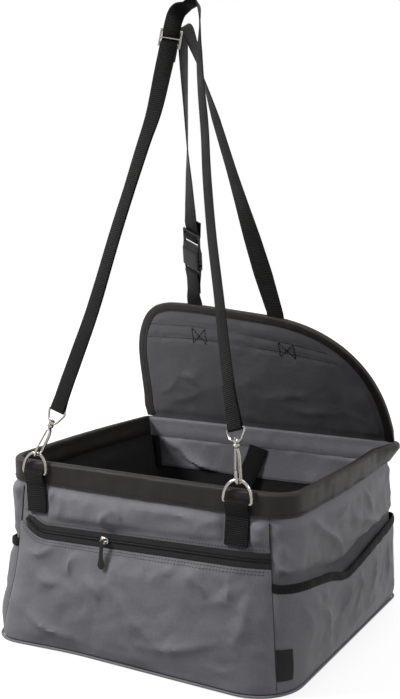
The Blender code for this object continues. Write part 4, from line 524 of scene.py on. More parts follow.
def front(x, height, out):
    """Points in front of the front wall, by x and height."""
    x, height, out = arrays(x, height, out)
    low, high = np.zeros(x.shape), np.ones(x.shape)
    for _ in range(24):
        middle = (low + high) / 2.0
        left = wall(middle, height, 0.0)[..., 0] < x
        low = np.where(left, middle, low)
        high = np.where(left, high, middle)
    return wall(low, height, out)


def front_vector(x, height, out):
    return Vector(front(x, height, out))


# Meshes

def add_mesh(name, verts, faces, look_name, uvs=None, body="basket", sharp=50.0):
    """An object of the seat from points, faces and places on the cloth."""
    verts = np.asarray(verts, float)
    mesh = bpy.data.meshes.new(name)
    mesh.from_pydata([tuple(v) for v in verts], [], outward(verts, faces))
    if uvs is not None:
        layer = mesh.uv_layers.new(name=UV_NAME)
        loops = np.empty(len(mesh.loops), dtype=np.int32)
        mesh.loops.foreach_get("vertex_index", loops)
        layer.data.foreach_set("uv", np.asarray(uvs, float)[loops].ravel())
    mesh.materials.append(look(look_name))
    mesh.validate()
    mesh.shade_smooth()
    mesh.set_sharp_from_angle(angle=math.radians(sharp))
    made = bpy.data.objects.new(name, mesh)
    bpy.context.scene.collection.objects.link(made)
    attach(made, body)
    return made


def outward(verts, faces):
    """The same faces, all turned if the closed body has a negative volume."""
    fans = np.array([(face[0], face[i], face[i + 1]) for face in faces for i in range(1, len(face) - 1)])
    a, b, c = (verts[fans[:, k]] for k in range(3))
    return faces if (a * np.cross(b, c)).sum() > 0.0 else [face[::-1] for face in faces]


def quads(a, b, c, d):
    """Faces between four arrays of points' numbers."""
    return np.stack([a, b, c, d], axis=-1).reshape(-1, 4).tolist()


def places_on(along, across):
    """Places on the cloth at metres along and across it."""
    return np.stack(np.meshgrid(along, across, indexing="ij"), axis=-1).reshape(-1, 2)


def shell(name, outer, inner, look_name, body="basket"):
    """A closed cloth between two grids of points; the first face is the one that shows."""
    wide, tall = outer.shape[:2]
    places = places_on(run_along(outer[:, tall // 2]), run_along(outer[wide // 2]))
    index = np.arange(wide * tall).reshape(wide, tall)
    back = index + wide * tall
    faces = quads(index[:-1, :-1], index[1:, :-1], index[1:, 1:], index[:-1, 1:])
    faces += quads(back[:-1, :-1], back[:-1, 1:], back[1:, 1:], back[1:, :-1])
    for near, far, way in ((index[:, 0], back[:, 0], 1), (index[-1], back[-1], 1),
                           (index[:, -1], back[:, -1], -1), (index[0], back[0], -1)):
        faces += quads(*(near[:-1], far[:-1], far[1:], near[1:])[::way])
    verts = np.concatenate([outer.reshape(-1, 3), inner.reshape(-1, 3)])
    return add_mesh(name, verts, faces, look_name, np.concatenate([places, places]), body)


def rings_body(name, rings, look_name, body="basket", closed=False, places=None, sharp=50.0):
    """A closed body over rings of points, with its ends closed unless it is a loop."""
    rings = np.asarray(rings, float)
    total, count = rings.shape[:2]
    index = np.arange(total * count).reshape(total, count)
    spans = total if closed else total - 1
    here, there = index[:spans], np.roll(index, -1, axis=0)[:spans]
    faces = quads(here, np.roll(here, -1, axis=1), np.roll(there, -1, axis=1), there)
    if not closed:
        faces += [index[0, ::-1].tolist(), index[-1].tolist()]
    if places is None:
        places = places_on(run_along(rings[:, 0]), run_along(rings[0]))
    return add_mesh(name, rings.reshape(-1, 3), faces, look_name, places, body, sharp)


def stands_for(made, cad_node):
    """Let a piece take the place of a node of the frame."""
    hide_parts(cad_node)
    return made


def declare_sheet(made):
    """Read a sheet's places on the cloth and the areas of its faces, which nothing uses."""
    mesh = made.data
    places = np.empty(len(mesh.loops) * 2)
    mesh.uv_layers[UV_NAME].data.foreach_get("uv", places)
    areas = np.empty(len(mesh.polygons))
    mesh.polygons.foreach_get("area", areas)
    return made


def cloth_piece(name, outer, inner, look_name, cad_node, body="basket"):
    """A cloth piece that stands for a node of the frame."""
    return stands_for(shell(name, outer, inner, look_name, body), cad_node)


def sheet_piece(name, outer, inner, look_name, cad_node, rests_on, held="stretched", body="basket"):
    return declare_sheet(cloth_piece(name, outer, inner, look_name, cad_node, body))


def wall_sheet(name, place, z, outer, inner, look_name, cad_node, rests_on, held="stretched"):
    """A sheet that follows the wall, between two distances out of it."""
    return sheet_piece(name, wall(place, z, outer), wall(place, z, inner), look_name, cad_node, rests_on, held)


def directions(points):
    """The way along a path at each of its points, also where points coincide."""
    found = []
    last = len(points) - 1
    for i in range(len(points)):
        ahead, behind = i, i
        while (points[ahead] - points[behind]).length < 0.000002 and (ahead < last or behind > 0):
            ahead, behind = min(ahead + 1, last), max(behind - 1, 0)
        found.append((points[ahead] - points[behind]).normalized())
    return found


def webbing(name, points, across, width, cad_node, body):
    """A flat strap of woven webbing with soft selvedges along a path, for a node of the frame."""
    points = [Vector(p) for p in points]
    half, edge, deep = width / 2.0, SELVEDGE, WEBBING / 2.0
    section = ((-half + edge, -deep), (0.0, -deep), (half - edge, -deep), (half, -deep * 0.4),
               (half, deep * 0.4), (half - edge, deep), (0.0, deep), (-half + edge, deep),
               (-half, deep * 0.4), (-half, -deep * 0.4))
    rings = []
    for point, way, side in zip(points, directions(points), across):
        normal = side.cross(way).normalized()
        side = way.cross(normal).normalized()
        rings.append([point + side * x + normal * n for x, n in section])
    places = places_on(run_along(np.array(points)), [x + half for x, _ in section])
    return stands_for(rings_body(name, rings, "webbing", body, places=places, sharp=60.0), cad_node)


def tube(name, points, radius, look_name, sides=8, closed=False):
    """A round bead along a path."""
    points = [Vector(p) for p in points]
    total = len(points)
    rings, side = [], None
    for i, point in enumerate(points):
        ahead = points[(i + 1) % total] if closed else points[min(i + 1, total - 1)]
        behind = points[i - 1] if closed or i else points[0]
        way = (ahead - behind).normalized()
        side = (side - way * side.dot(way)).normalized() if side else way.orthogonal().normalized()
        other = way.cross(side)
        rings.append([point + side * (radius * c) + other * (radius * s)
                      for c, s in turned(steps(0.0, 360.0, sides)[:-1])])
    return rings_body(name, rings, look_name, closed=closed)


# Materials

def fill(tree, made, values):
    """Set a node's sockets, by name or number, or link them."""
    for key, value in values.items():
        if isinstance(value, bpy.types.NodeSocket):
            tree.links.new(value, made.inputs[key])
        else:
            made.inputs[key].default_value = value


def node(tree, kind, values=None, output=0, **settings):
    """An output of a new node with its sockets filled."""
    made = tree.nodes.new("ShaderNode" + kind)
    for key, value in settings.items():
        setattr(made, key, value)
    fill(tree, made, values or {})
    return made.outputs[output]


def start_look(name, roughness, metallic=0.0):
    made = bpy.data.materials.new(name)
    made.use_nodes = True
    shader = made.node_tree.nodes["Principled BSDF"]
    fill(made.node_tree, shader, {"Roughness": roughness, "Metallic": metallic})
    return made, made.node_tree, shader


def calc(tree, operation, *values):
    return node(tree, "Math", dict(enumerate(values)), operation=operation)


def noise(tree, scale, detail, rough=0.55, vector=None):
    return node(tree, "TexNoise", {"Scale": scale, "Detail": detail, "Roughness": rough,
                                   "Vector": vector or node(tree, "TexCoord", output="Object")})


def ramp(tree, factor, low, first, high, last):
    """A tone that runs from the first to the last between two values."""
    made = tree.nodes.new("ShaderNodeValToRGB")
    for element, place, tone in zip(made.color_ramp.elements, (low, high), (first, last)):
        element.position = place
        element.color = (*tone, 1.0) if isinstance(tone, tuple) else (tone, tone, tone, 1.0)
    tree.links.new(factor, made.inputs[0])
    return made.outputs[0]


def shade(colour, scale):
    return tuple(min(1.0, channel * scale) for channel in colour)


def toned(tree, factor, colour, low, first, high, last):
    """A colour made darker or lighter between two values."""
    return ramp(tree, factor, low, shade(colour, first), high, shade(colour, last))


def multiplied(tree, share, first, second):
    return node(tree, "Mix", {0: share, 6: first, 7: second}, 2, data_type="RGBA", blend_type="MULTIPLY")


def place_on_cloth(tree, along, up):
    """The place on the cloth in threads: along it and across it."""
    split = tree.nodes.new("ShaderNodeSeparateXYZ")
    tree.links.new(node(tree, "UVMap", uv_map=UV_NAME), split.inputs[0])
    return [calc(tree, "MULTIPLY", split.outputs[k], scale) for k, scale in enumerate((along, up))]


def weave_height(tree, pitch):
    """The relief of a plain weave: threads that pass over and under each other, from 0 to 1."""
    along, up = place_on_cloth(tree, math.pi / pitch, math.pi / pitch)
    warp, weft = (calc(tree, "ABSOLUTE", calc(tree, "SINE", way)) for way in (along, up))
    check = calc(tree, "MULTIPLY", *(calc(tree, "SINE", calc(tree, "ADD", way, math.pi / 2.0))
                                     for way in (along, up)))
    share = calc(tree, "ADD", calc(tree, "MULTIPLY", check, 0.5), 0.5)
    under = calc(tree, "MULTIPLY", weft, calc(tree, "SUBTRACT", 1.0, share))
    return calc(tree, "ADD", calc(tree, "MULTIPLY", warp, share), under)


def bump(tree, height, distance, strength=1.0, **under):
    return node(tree, "Bump", {"Strength": strength, "Distance": distance, "Height": height, **under})


def woven_look(name, colour, pitch, roughness, sheen):
    """Coated plain-weave cloth with lighter and darker patches at random, and painted shade between the threads."""
    made, tree, shader = start_look(name, roughness)
    weave = weave_height(tree, pitch)
    patches = noise(tree, 14.0, 4.0)
    cloth = toned(tree, patches, colour, 0.30, 0.90, 0.70, 1.08)
    # Painted shade between the threads: the colour is darker where the weave dips.
    cloth = multiplied(tree, 0.55, cloth, ramp(tree, weave, 0.15, 0.72, 0.85, 1.0))
    cloth = multiplied(tree, 0.6, cloth, ramp(tree, noise(tree, 900.0, 2.0), 0.35, 0.86, 0.65, 1.0))
    for ways in ((80.0, 1300.0), (1300.0, 80.0)):
        place = node(tree, "CombineXYZ", dict(enumerate(place_on_cloth(tree, *ways))))
        yarn = noise(tree, 1.0, 2.0, 0.6, place)
        cloth = multiplied(tree, 0.6, cloth, ramp(tree, yarn, 0.36, 0.86, 0.62, 1.06))
    fill(tree, shader, {
        "Base Color": node(tree, "HueSaturation", {"Value": 1.18, "Color": cloth}),
        "Roughness": ramp(tree, patches, 0.3, roughness - 0.06, 0.7, roughness + 0.06),
        "Sheen Weight": sheen, "Sheen Roughness": 0.45, "Specular IOR Level": 0.18,
        "Normal": bump(tree, weave, 0.00022, 0.8, Normal=bump(tree, noise(tree, 55.0, 5.0, 0.6), 0.0016, 0.55))})
    return made


def ribbed_look(name, colour, pitch, roughness, cross=0.0016, depth=0.0008, shine=0.09):
    """Webbing or binding tape: ribs across it and fine yarns along it, with painted shade between the ribs and
    painted highlight on their tops.
    """
    made, tree, shader = start_look(name, roughness)
    along, side = place_on_cloth(tree, math.pi / pitch, 2.0 * math.pi / cross)
    ribs = calc(tree, "POWER", calc(tree, "ABSOLUTE", calc(tree, "SINE", along)), 0.7)
    yarns = calc(tree, "MULTIPLY", calc(tree, "MULTIPLY", calc(tree, "SINE", side), 0.5), 0.35)
    height = calc(tree, "ADD", ribs, yarns)
    fuzz = ramp(tree, noise(tree, 420.0, 3.0), 0.35, 0.80, 0.70, 1.15)
    # Painted shade and highlight: the colour is darker between the ribs and lighter on their tops.
    fill(tree, shader, {
        "Base Color": multiplied(tree, 0.8, toned(tree, height, colour, 0.1, 0.45, 0.9, 1.35), fuzz),
        "Roughness": ramp(tree, noise(tree, 30.0, 3.0), 0.3, roughness - 0.07, 0.7, roughness + 0.07),
        "Sheen Weight": 0.0, "Sheen Roughness": 0.4, "Specular IOR Level": shine,
        "Normal": bump(tree, height, depth, 0.9)})
    return made


def thread_look(name, colour):
    """Twisted sewing thread."""
    made, tree, shader = start_look(name, 0.6)
    twist = noise(tree, 2600.0, 2.0)
    fill(tree, shader, {"Base Color": toned(tree, twist, colour, 0.3, 0.7, 0.7, 1.3), "Sheen Weight": 0.05,
                        "Specular IOR Level": 0.1, "Normal": bump(tree, twist, 0.00008)})
    return made


def nickel_look(name, colour):
    """Plated wire: bright, with soft smears and fine rubbed lines."""
    made, tree, shader = start_look(name, 0.22, 1.0)
    smears = noise(tree, 160.0, 5.0, 0.65)
    fill(tree, shader, {"Base Color": toned(tree, smears, colour, 0.3, 0.88, 0.7, 1.06),
                        "Roughness": ramp(tree, smears, 0.3, 0.12, 0.75, 0.26),
                        "Normal": bump(tree, noise(tree, 900.0, 3.0), 0.00005, 0.4)})
    return made


def plastic_look(name, colour, roughness=0.38):
    """Moulded black plastic with a fine spark-eroded grain."""
    made, tree, shader = start_look(name, roughness)
    grain = noise(tree, 1500.0, 2.0)
    fill(tree, shader, {"Base Color": toned(tree, noise(tree, 60.0, 3.0), colour, 0.3, 0.85, 0.7, 1.2),
                        "Roughness": ramp(tree, grain, 0.3, roughness - 0.06, 0.7, roughness + 0.08),
                        "Specular IOR Level": 0.22, "Normal": bump(tree, grain, 0.00006, 0.5)})
    return made


def foam_look(name):
    """Open-celled foam."""
    made, tree, shader = start_look(name, 0.9)
    cells = node(tree, "TexVoronoi", {"Scale": 700.0, "Vector": node(tree, "TexCoord", output="Object")})
    fill(tree, shader, {"Base Color": ramp(tree, cells, 0.0, (0.52, 0.51, 0.47), 0.6, (0.68, 0.67, 0.62)),
                        "Normal": bump(tree, cells, 0.0003, 0.6)})
    return made


def board_look(name):
    """Grey pressed board."""
    made, tree, shader = start_look(name, 0.7)
    fibres = noise(tree, 240.0, 5.0)
    fill(tree, shader, {"Base Color": ramp(tree, fibres, 0.3, (0.085, 0.080, 0.075), 0.7, (0.125, 0.12, 0.112)),
                        "Normal": bump(tree, fibres, 0.0002, 0.5)})
    return made


@cache
def look(name):
    """The seat's materials by name, made when first asked for."""
    scene = bpy.context.scene
    cloth, thread, hardware = scene.seat_cloth, scene.seat_thread, scene.seat_hardware
    maker, *values = {
        "grey": (woven_look, "grey_oxford", tuple(cloth.grey), cloth.weave_pitch, 0.52, 0.06),
        # The grey cloth darkened to 0.92 as painted shade, for the channel and the facing inside the basket
        "grey_inside_painted_shade": (woven_look, "grey_oxford_inside", shade(cloth.grey, 0.92), cloth.weave_pitch, 0.48, 0.06),
        # The grey cloth darkened to 0.46 as painted shade, for the flap that leans forward and faces down
        "grey_flap_painted_shade": (woven_look, "grey_oxford_flap", shade(cloth.grey, 0.46), cloth.weave_pitch, 0.52, 0.04),
        "lining": (woven_look, "black_lining", tuple(cloth.lining), 0.0006, 0.70, 0.03),
        "tape": (woven_look, "zip_tape_weave", tuple(cloth.lining), 0.0007, 0.60, 0.04),
        "binding": (ribbed_look, "black_binding", tuple(cloth.binding), 0.0009, 0.46, 0.0009, 0.00014, 0.20),
        "webbing": (ribbed_look, "black_webbing_weave", tuple(cloth.webbing), 0.0024, 0.50),
        "elastic": (ribbed_look, "black_elastic", tuple(cloth.webbing), 0.0016, 0.60, 0.0012, 0.0003, 0.10),
        "thread_grey": (thread_look, "grey_thread", tuple(thread.grey)),
        "thread_black": (thread_look, "black_thread", tuple(thread.black)),
        "nickel": (nickel_look, "nickel_plate", tuple(hardware.nickel)),
        "plastic": (plastic_look, "moulded_plastic", tuple(hardware.plastic)),
        "coil": (plastic_look, "zip_coil_plastic", tuple(hardware.plastic), 0.45),
        "foam": (foam_look, "wall_foam"),
        "board": (board_look, "grey_board"),
    }[name]
    return maker(*values)


# Thread

def sew(name, surface, lines, look_name="thread_grey", body="basket", thick=1.0):
    """Rows of lock stitches on a surface, a function of two places and the distance out of it."""
    thread = bpy.context.scene.seat_thread
    radius, half = thread.radius * thick, thread.length / 2.0
    pitch = thread.length + thread.space
    for i, line in enumerate(lines):
        a, b = np.asarray(line, float).T
        points = surface(a, b, 0.0)
        outs = surface(a, b, 0.001) - points
        run = run_along(points)
        verts, faces = [], []
        for k in range(max(1, int(run[-1] / pitch))):
            middle = (k + 0.5) * pitch
            first, centre, last = (at_run(points, run, middle + way * half) for way in (-1, 0, 1))
            out = at_run(outs, run, middle)
            out /= np.linalg.norm(out)
            way = (last - first) / np.linalg.norm(last - first)
            side = np.cross(way, out)
            start = len(verts)
            verts.append(first - out * radius * 0.8)
            for place in (-0.30, 0.30):
                ring = centre + way * thread.length * place + out * radius * 0.35
                verts += [ring + (out * c + side * s) * radius for c, s in ((1, 0), (0, 1), (-1, 0), (0, -1))]
            verts.append(last - out * radius * 0.8)
            for j, n in ((0, 1), (1, 2), (2, 3), (3, 0)):
                faces += [(start, start + 1 + n, start + 1 + j),
                          (start + 1 + j, start + 1 + n, start + 5 + n, start + 5 + j),
                          (start + 9, start + 5 + j, start + 5 + n)]
        add_mesh(name if len(lines) == 1 else f"{name}_{i + 1}", verts, faces, look_name, body=body, sharp=80.0)


# The walls

def side_shares(side, grid):
    """Shares along a side that leave the seams' gap free at both ends."""
    margin = SEAM_GAP / 2.0 / side_length(side)
    return np.linspace(margin, 1.0 - margin, int(side_length(side) / grid) + 1)


def side_grid(side, step, low, high, rows):
    """Shares along a side and heights, over all of it."""
    return arrays(side_shares(side, step)[:, None], np.linspace(low, high, rows)[None, :])


def zip_line(share):
    """Places (x, height) of the zip's middle line and its upward normal."""
    x = lerp(ZIP_LEFT, ZIP_RIGHT, np.asarray(share, float))
    bend = np.clip((ZIP_LEFT + ZIP_CURVE_LENGTH - x) / ZIP_CURVE_LENGTH, 0.0, None)
    height = ZIP_HEIGHT + ZIP_RISE_SHARE * (x - ZIP_LEFT) + ZIP_CURVE_RISE * bend ** 2
    slope = ZIP_RISE_SHARE - 2.0 * ZIP_CURVE_RISE * bend / ZIP_CURVE_LENGTH
    size = np.hypot(slope, 1.0)
    return x, height, -slope / size, 1.0 / size


def zip_edge(x, reach):
    """The height at x of a line that runs beside the zip."""
    zx, zz, nx, nz = zip_line(np.linspace(0.0, 1.0, 160))
    return np.interp(x, zx + nx * reach, zz + nz * reach)


def pocket_top(u):
    return zip_edge(wall(FRONT + u, ZIP_HEIGHT, 0.0)[..., 0], -POCKET_REACH)


def rounded(pairs, count=121, width=9):
    """A table of the pairs with its corners rounded."""
    xs = np.linspace(pairs[0][0], pairs[-1][0], count)
    ys = np.pad(np.interp(xs, *zip(*pairs)), width // 2, "edge")
    return xs, np.convolve(ys, np.ones(width) / width, "valid")


def side_pocket_top(side, u):
    if side == RIGHT_SIDE:
        return RIGHT_POCKET_HEIGHT * np.interp(u, *rounded(RIGHT_POCKET_SHARES))
    line = lerp(LEFT_POCKET_REAR, LEFT_POCKET_HEIGHT, u)
    return line - LEFT_POCKET_SAG * np.clip(np.sin(math.pi * u), 0.0, 1.0) ** 1.5


def side_swell(side, u, v):
    """How far a side pocket stands off the wall."""
    shares = LEFT_SWELL_SHARES if side == LEFT_SIDE else RIGHT_SWELL_SHARES
    rise = np.interp(v, *rounded(tuple(zip(steps(0.0, 1.0, 3), shares)), 61, 13))
    return POCKET_STAND + SIDE_POCKET_SWELL * np.clip(np.sin(math.pi * u), 0.0, 1.0) ** SWELL_POWER * rise


def pocket_share(height, top):
    """The share up a side pocket at a height, as the frame's rows divide it."""
    knees = (RIM_TOP - CHANNEL_HEIGHT) * np.array([0.15, 0.36])
    low = np.interp(height, [POCKET_LOW, *knees], [0.0, 1.0 / 3.0, 2.0 / 3.0])
    return np.where(height > knees[1], lerp(2.0 / 3.0, 1.0, (height - knees[1]) / (top - knees[1])), low)


def bare_share(side, u, z):
    """1 where the wall's outer cloth is free to crease, 0 under pockets and binding."""
    tab = 1.0
    if side == FRONT:
        x = wall(u, ZIP_HEIGHT, 0.0)[..., 0]
        low = zip_edge(x, POCKET_REACH + 0.003)
        for way in (LEFT, RIGHT):
            away = np.abs(x - TAB_SHIFT - way * TAB_SPREAD) - TAB_WIDTH / 2.0 - 0.001
            tab = tab * np.maximum(smooth(away / 0.008), smooth((TAB_BOTTOM - 0.002 - z) / 0.008))
    else:
        low = 0.012 if side == REAR else side_pocket_top(side, u) + ELASTIC_HEIGHT + 0.002
    return smooth((z - low) / 0.012) * smooth((RIM_TOP - CHANNEL_HEIGHT - z) / 0.010) * inside(u, 0.03) * tab


WALL_FOLDS = {
    "front": (((0.122, 0.156), (0.139, 0.183), 0.005, 0.5), ((0.139, 0.183), (0.160, 0.176), 0.004, 0.4),
              ((0.060, 0.200), (0.062, 0.160), 0.006, 0.4), ((0.190, 0.202), (0.258, 0.180), 0.007, 0.35),
              ((0.330, 0.200), (0.350, 0.165), 0.006, 0.4)),
    "right": (((0.046, 0.206), (0.158, 0.120), 0.006, 0.75), ((0.119, 0.178), (0.198, 0.200), 0.008, 0.5),
              ((0.150, 0.165), (0.330, 0.130), 0.008, 0.5), ((0.120, 0.150), (0.326, 0.112), 0.009, 0.4),
              ((0.004, 0.168), (0.024, 0.158), 0.003, 0.5), ((0.004, 0.152), (0.022, 0.139), 0.003, 0.5),
              ((0.006, 0.139), (0.020, 0.150), 0.003, 0.4), ((0.21, 0.20), (0.26, 0.155), 0.006, 0.45)),
    "left": (((0.05, 0.19), (0.2, 0.13), 0.007, 0.6), ((0.30, 0.19), (0.22, 0.12), 0.007, 0.5)),
    "rear": (((0.05, 0.19), (0.2, 0.09), 0.008, 0.6), ((0.22, 0.16), (0.36, 0.05), 0.008, 0.6)),
}


def outer_walls(context):
    """The outer grey cloth of the four walls."""
    cloth = context.scene.seat_cloth
    for name, side in SIDES:
        u, z = side_grid(side, cloth.grid, WALL_LOW, WALL_TOP, 66)
        out = creased(cloth.seed + side, u * side_length(side), z, WALL_FOLDS[name])
        out = out * cloth.crease * bare_share(side, u, z)
        wall_sheet(name + "_cloth", side + u, z, out, out - CLOTH, "grey", name + "_panel", name + "_padding")


def wall_padding(context):
    """The soft padding inside the four walls, a little crowned in its middle."""
    low = WALL_LOW + BOARD + GAP
    for name, side in SIDES:
        u, z = side_grid(side, 0.012, low, WALL_TOP, 20)
        edge = np.minimum(np.minimum(u, 1.0 - u) * side_length(side), np.minimum(z - low, WALL_TOP - z))
        pinch = 0.0007 * (1.0 - smooth(edge / 0.006))
        out = -CLOTH - GAP
        made = shell(name + "_padding", wall(side + u, z, out - pinch), wall(side + u, z, out - FOAM + pinch), "foam")
        stands_for(made, name + "_foam")


def linings(context):
    """The black lining of the four walls."""
    cloth = context.scene.seat_cloth
    low = WALL_LOW + BOARD + GAP + LINING + GAP
    for name, side in SIDES:
        u, z = side_grid(side, cloth.grid * 1.3, low, WALL_TOP, 40)
        top = FACING_BOTTOM - 0.006 if side == REAR else RIM_TOP - CHANNEL_HEIGHT - 0.001
        free = smooth((top - z) / 0.02) * smooth((z - low - 0.002) / 0.02) * inside(u, 0.05)
        crease = Ripples(cloth.seed + 20 + side, 0.14, 0.04)(u * side_length(side), z) * free
        depth = -crease * cloth.crease * (0.20 if side == REAR else 0.75)
        wall_sheet(name + "_inside", side + u, z, LINING_OUT - LINING + depth, LINING_OUT + depth, "lining",
                   name + "_lining", name + "_padding")


def disc_cloth(name, low, high, out, look_name, cad_node, seed, lift=0.0):
    """A flat cloth with a closed edge that fills the basket's outline."""
    shares = np.linspace(1.0, 0.02, 26)[None, :, None]
    grids = []
    for height, swell in ((low, 0.0), (high, lift)):
        edge = wall(np.linspace(0.0, 4.0, 261)[:-1, None], height, out)
        middle = np.array([BASE_SHIFT, 0.0, height])
        grid = middle + (edge - middle) * shares
        inset = smooth(np.linspace(0.0, 1.0, grid.shape[1]) / 0.2)[None, :]
        grid[..., 2] += Ripples(seed, 0.12, 0.04)(grid[..., 0], grid[..., 1]) * swell * inset
        grids.append(grid)
    count, rings = grids[0].shape[:2]
    top = count * rings
    index = np.arange(top).reshape(count, rings)
    ahead = np.roll(index, -1, axis=0)
    faces = []
    for shift, way in ((0, -1), (top, 1)):
        corners = (index[:, :-1], ahead[:, :-1], ahead[:, 1:], index[:, 1:])
        faces += quads(*[part + shift for part in corners][::way])
        faces.append((index[:, -1] + shift).tolist()[::way])
    faces += quads(index[:, 0], ahead[:, 0], ahead[:, 0] + top, index[:, 0] + top)
    verts = np.concatenate([grid.reshape(-1, 3) for grid in grids])
    made = add_mesh(name, verts, faces, look_name, verts[:, :2])
    declare_sheet(stands_for(made, cad_node))


def base_cloths(context):
    """The cloth under the base, the lining on its board and the sewn bead round the foot."""
    seed = context.scene.seat_cloth.seed
    disc_cloth("base_cloth", 0.0, CLOTH, 0.0, "grey", "base_panel", seed)
    low = WALL_LOW + BOARD + GAP
    disc_cloth("floor_cloth", low, low + LINING, LINING_OUT, "lining", "floor_lining", seed + 3, lift=0.0008)
    points = wall(np.linspace(0.0, 4.0, 421)[:-1], PIPING_LIFT + PIPING_RADIUS, CLOTH + GAP * 2.0 + PIPING_RADIUS)
    stands_for(tube("foot_bead", points, PIPING_RADIUS, "grey", closed=True), "base_piping")


# The rim

def tab_share(side):
    """The share along the front wall at which a ring's tab hangs."""
    shares = np.linspace(0.0, 1.0, 200)
    return float(np.interp(TAB_SHIFT + side * TAB_SPREAD, wall(shares, RING_BAR_HEIGHT, 0.0)[:, 0], shares))


def folded_strip(name, first, last, height, look_name, cad_node, pucker, belly, seed):
    """A strip folded over the rim, with puckers across it and an inner leg that sags inwards."""
    metres = side_length(FRONT)
    margin = SEAM_GAP / 2.0 / side_length(REAR)
    places = np.linspace(first + margin, last - margin, int((last - first) * metres / STRIP_GRID))[:, None]
    bottom = RIM_TOP - height
    legs = np.linspace(bottom, WALL_TOP, 9)
    none, whole = np.zeros(9), np.ones(9)
    cosines, sines = np.array(turned(steps(0.0, 180.0, 10))).T
    outs = np.concatenate([whole * ARCH_OUT, ARCH_CENTRE + ARCH_RADIUS * cosines, whole * ARCH_IN])
    heights = np.concatenate([legs, ARCH_HEIGHT + ARCH_RADIUS * sines, legs[::-1]])
    side_way = np.concatenate([whole, cosines, -whole])
    up_way = np.concatenate([none, sines, none])
    run = places * metres
    across = np.linspace(0.0, 0.07, len(outs))[None, :]
    swell = Ripples(seed, 0.030, 0.009, 14)(run, across * 0.35) * pucker
    swell = swell + Ripples(seed + 1, 0.09, 0.03, 10)(run, across) * pucker * 0.7
    tabs = np.zeros(run.shape)
    for side in (LEFT, RIGHT):
        away = np.abs(run - tab_share(side) * metres) - TAB_WIDTH * 0.5
        tabs = np.maximum(tabs, 1.0 - smooth(away / 0.008))
    down = (WALL_TOP - legs[::-1]) / (WALL_TOP - bottom)
    ends = smooth(np.minimum(places - first, last - places) * metres / 0.03)
    sag = np.concatenate([np.zeros(20), np.sin(math.pi * down ** 1.5)])[None, :] * ends
    sag = sag * belly * (0.8 + 0.4 * Ripples(seed + 2, 0.12, 0.05)(run, across))
    swell = swell * (1.0 - tabs) * np.clip((RIM_TOP - 0.0005 - heights) / 0.004 + 0.35, 0.35, 1.0)[None, :]
    if first == REAR:
        swell = swell * (side_way < -0.5)[None, :]
    grids = []
    for depth, extra in ((0.0, swell + sag), (BINDING, sag)):
        z = heights - up_way * depth + up_way * extra * 0.3
        points = wall(places, np.minimum(z, ARCH_HEIGHT), outs - side_way * depth + side_way * extra)
        points[..., 2] = z
        grids.append(points)
    sheet_piece(name, *grids, look_name, cad_node, "rim_tube", "folded")


def rim(context):
    """The black binding over three sides, the grey channel across the back and the tube in them."""
    seed = context.scene.seat_cloth.seed
    folded_strip("rim_tape", -1.0, 2.0, BINDING_HEIGHT, "binding", "rim_binding", 0.0010, 0.002, seed + 40)
    # The channel takes the grey cloth darkened as painted shade.
    folded_strip("channel_cloth", 2.0, 3.0, CHANNEL_HEIGHT, "grey_inside_painted_shade", "rear_channel", 0.0008, 0.0012, seed + 44)
    points = wall(np.linspace(0.0, 4.0, 481)[:-1], ARCH_HEIGHT, ARCH_CENTRE)
    core = tube("rim_core", points, ARCH_RADIUS - BINDING - GAP * 2.0, "plastic", sides=10, closed=True)
    stands_for(core, "rim_tube")


FACING_FOLDS = (((0.388, 0.200), (0.340, 0.184), 0.005, 1.3), ((0.344, 0.186), (0.290, 0.148), 0.006, 2.2),
                ((0.350, 0.176), (0.306, 0.148), 0.004, -0.9), ((0.032, 0.152), (0.060, 0.194), 0.006, 0.5),
                ((0.270, 0.190), (0.235, 0.165), 0.006, 0.3))


def facing(context):
    """The grey strip inside the back wall, under the channel, with its black edge strips."""
    cloth = context.scene.seat_cloth
    length = side_length(REAR)
    top = RIM_TOP - CHANNEL_HEIGHT - GAP
    outer = WALL_IN - GAP
    margin = SEAM_GAP / 2.0 / length

    def grid(first, last, count, rows):
        us = margin + np.linspace(first, last, count) * (1.0 - 2.0 * margin)
        return arrays(us[:, None], np.linspace(FACING_BOTTOM, top, rows)[None, :])
    u, z = grid(FACING_INSET, 1.0 - FACING_INSET, 80, 18)
    s = u * length
    crease = Ripples(cloth.seed + 50, 0.09, 0.03)(s, z) * 0.6 + folds(s, z, FACING_FOLDS)
    tether_share = 1.0 - smooth((np.abs(s - TETHER_ROOM_MIDDLE) - TETHER_ROOM_HALF) / 0.02)
    free = smooth((z - FACING_BOTTOM) / 0.004) * smooth((top - z) / 0.004)
    free = free * smooth(np.minimum(u - FACING_INSET, 1.0 - FACING_INSET - u) / 0.01)
    depth = -np.clip(crease, 0.0, 2.6) * FACING_RELIEF * free * (1.0 - tether_share)
    # The facing takes the grey cloth darkened as painted shade.
    wall_sheet("facing_cloth", REAR + u, z, outer - LINING + depth, outer + depth, "grey_inside_painted_shade", "back_facing",
               "rear_inside")
    high = FACING_INSET - GAP / length
    crown = 0.0005 * np.sin(math.pi * np.linspace(0.0, 1.0, 6))[:, None]
    for way, ends in (("right", (FACING_EDGE, high)), ("left", (1.0 - high, 1.0 - FACING_EDGE))):
        u, z = grid(*ends, 6, 14)
        cloth_piece("facing_tape_" + way, wall(REAR + u, z, outer - LINING - BINDING - crown),
                    wall(REAR + u, z, outer), "binding", "facing_edge_" + way)


# The front pocket and its zip

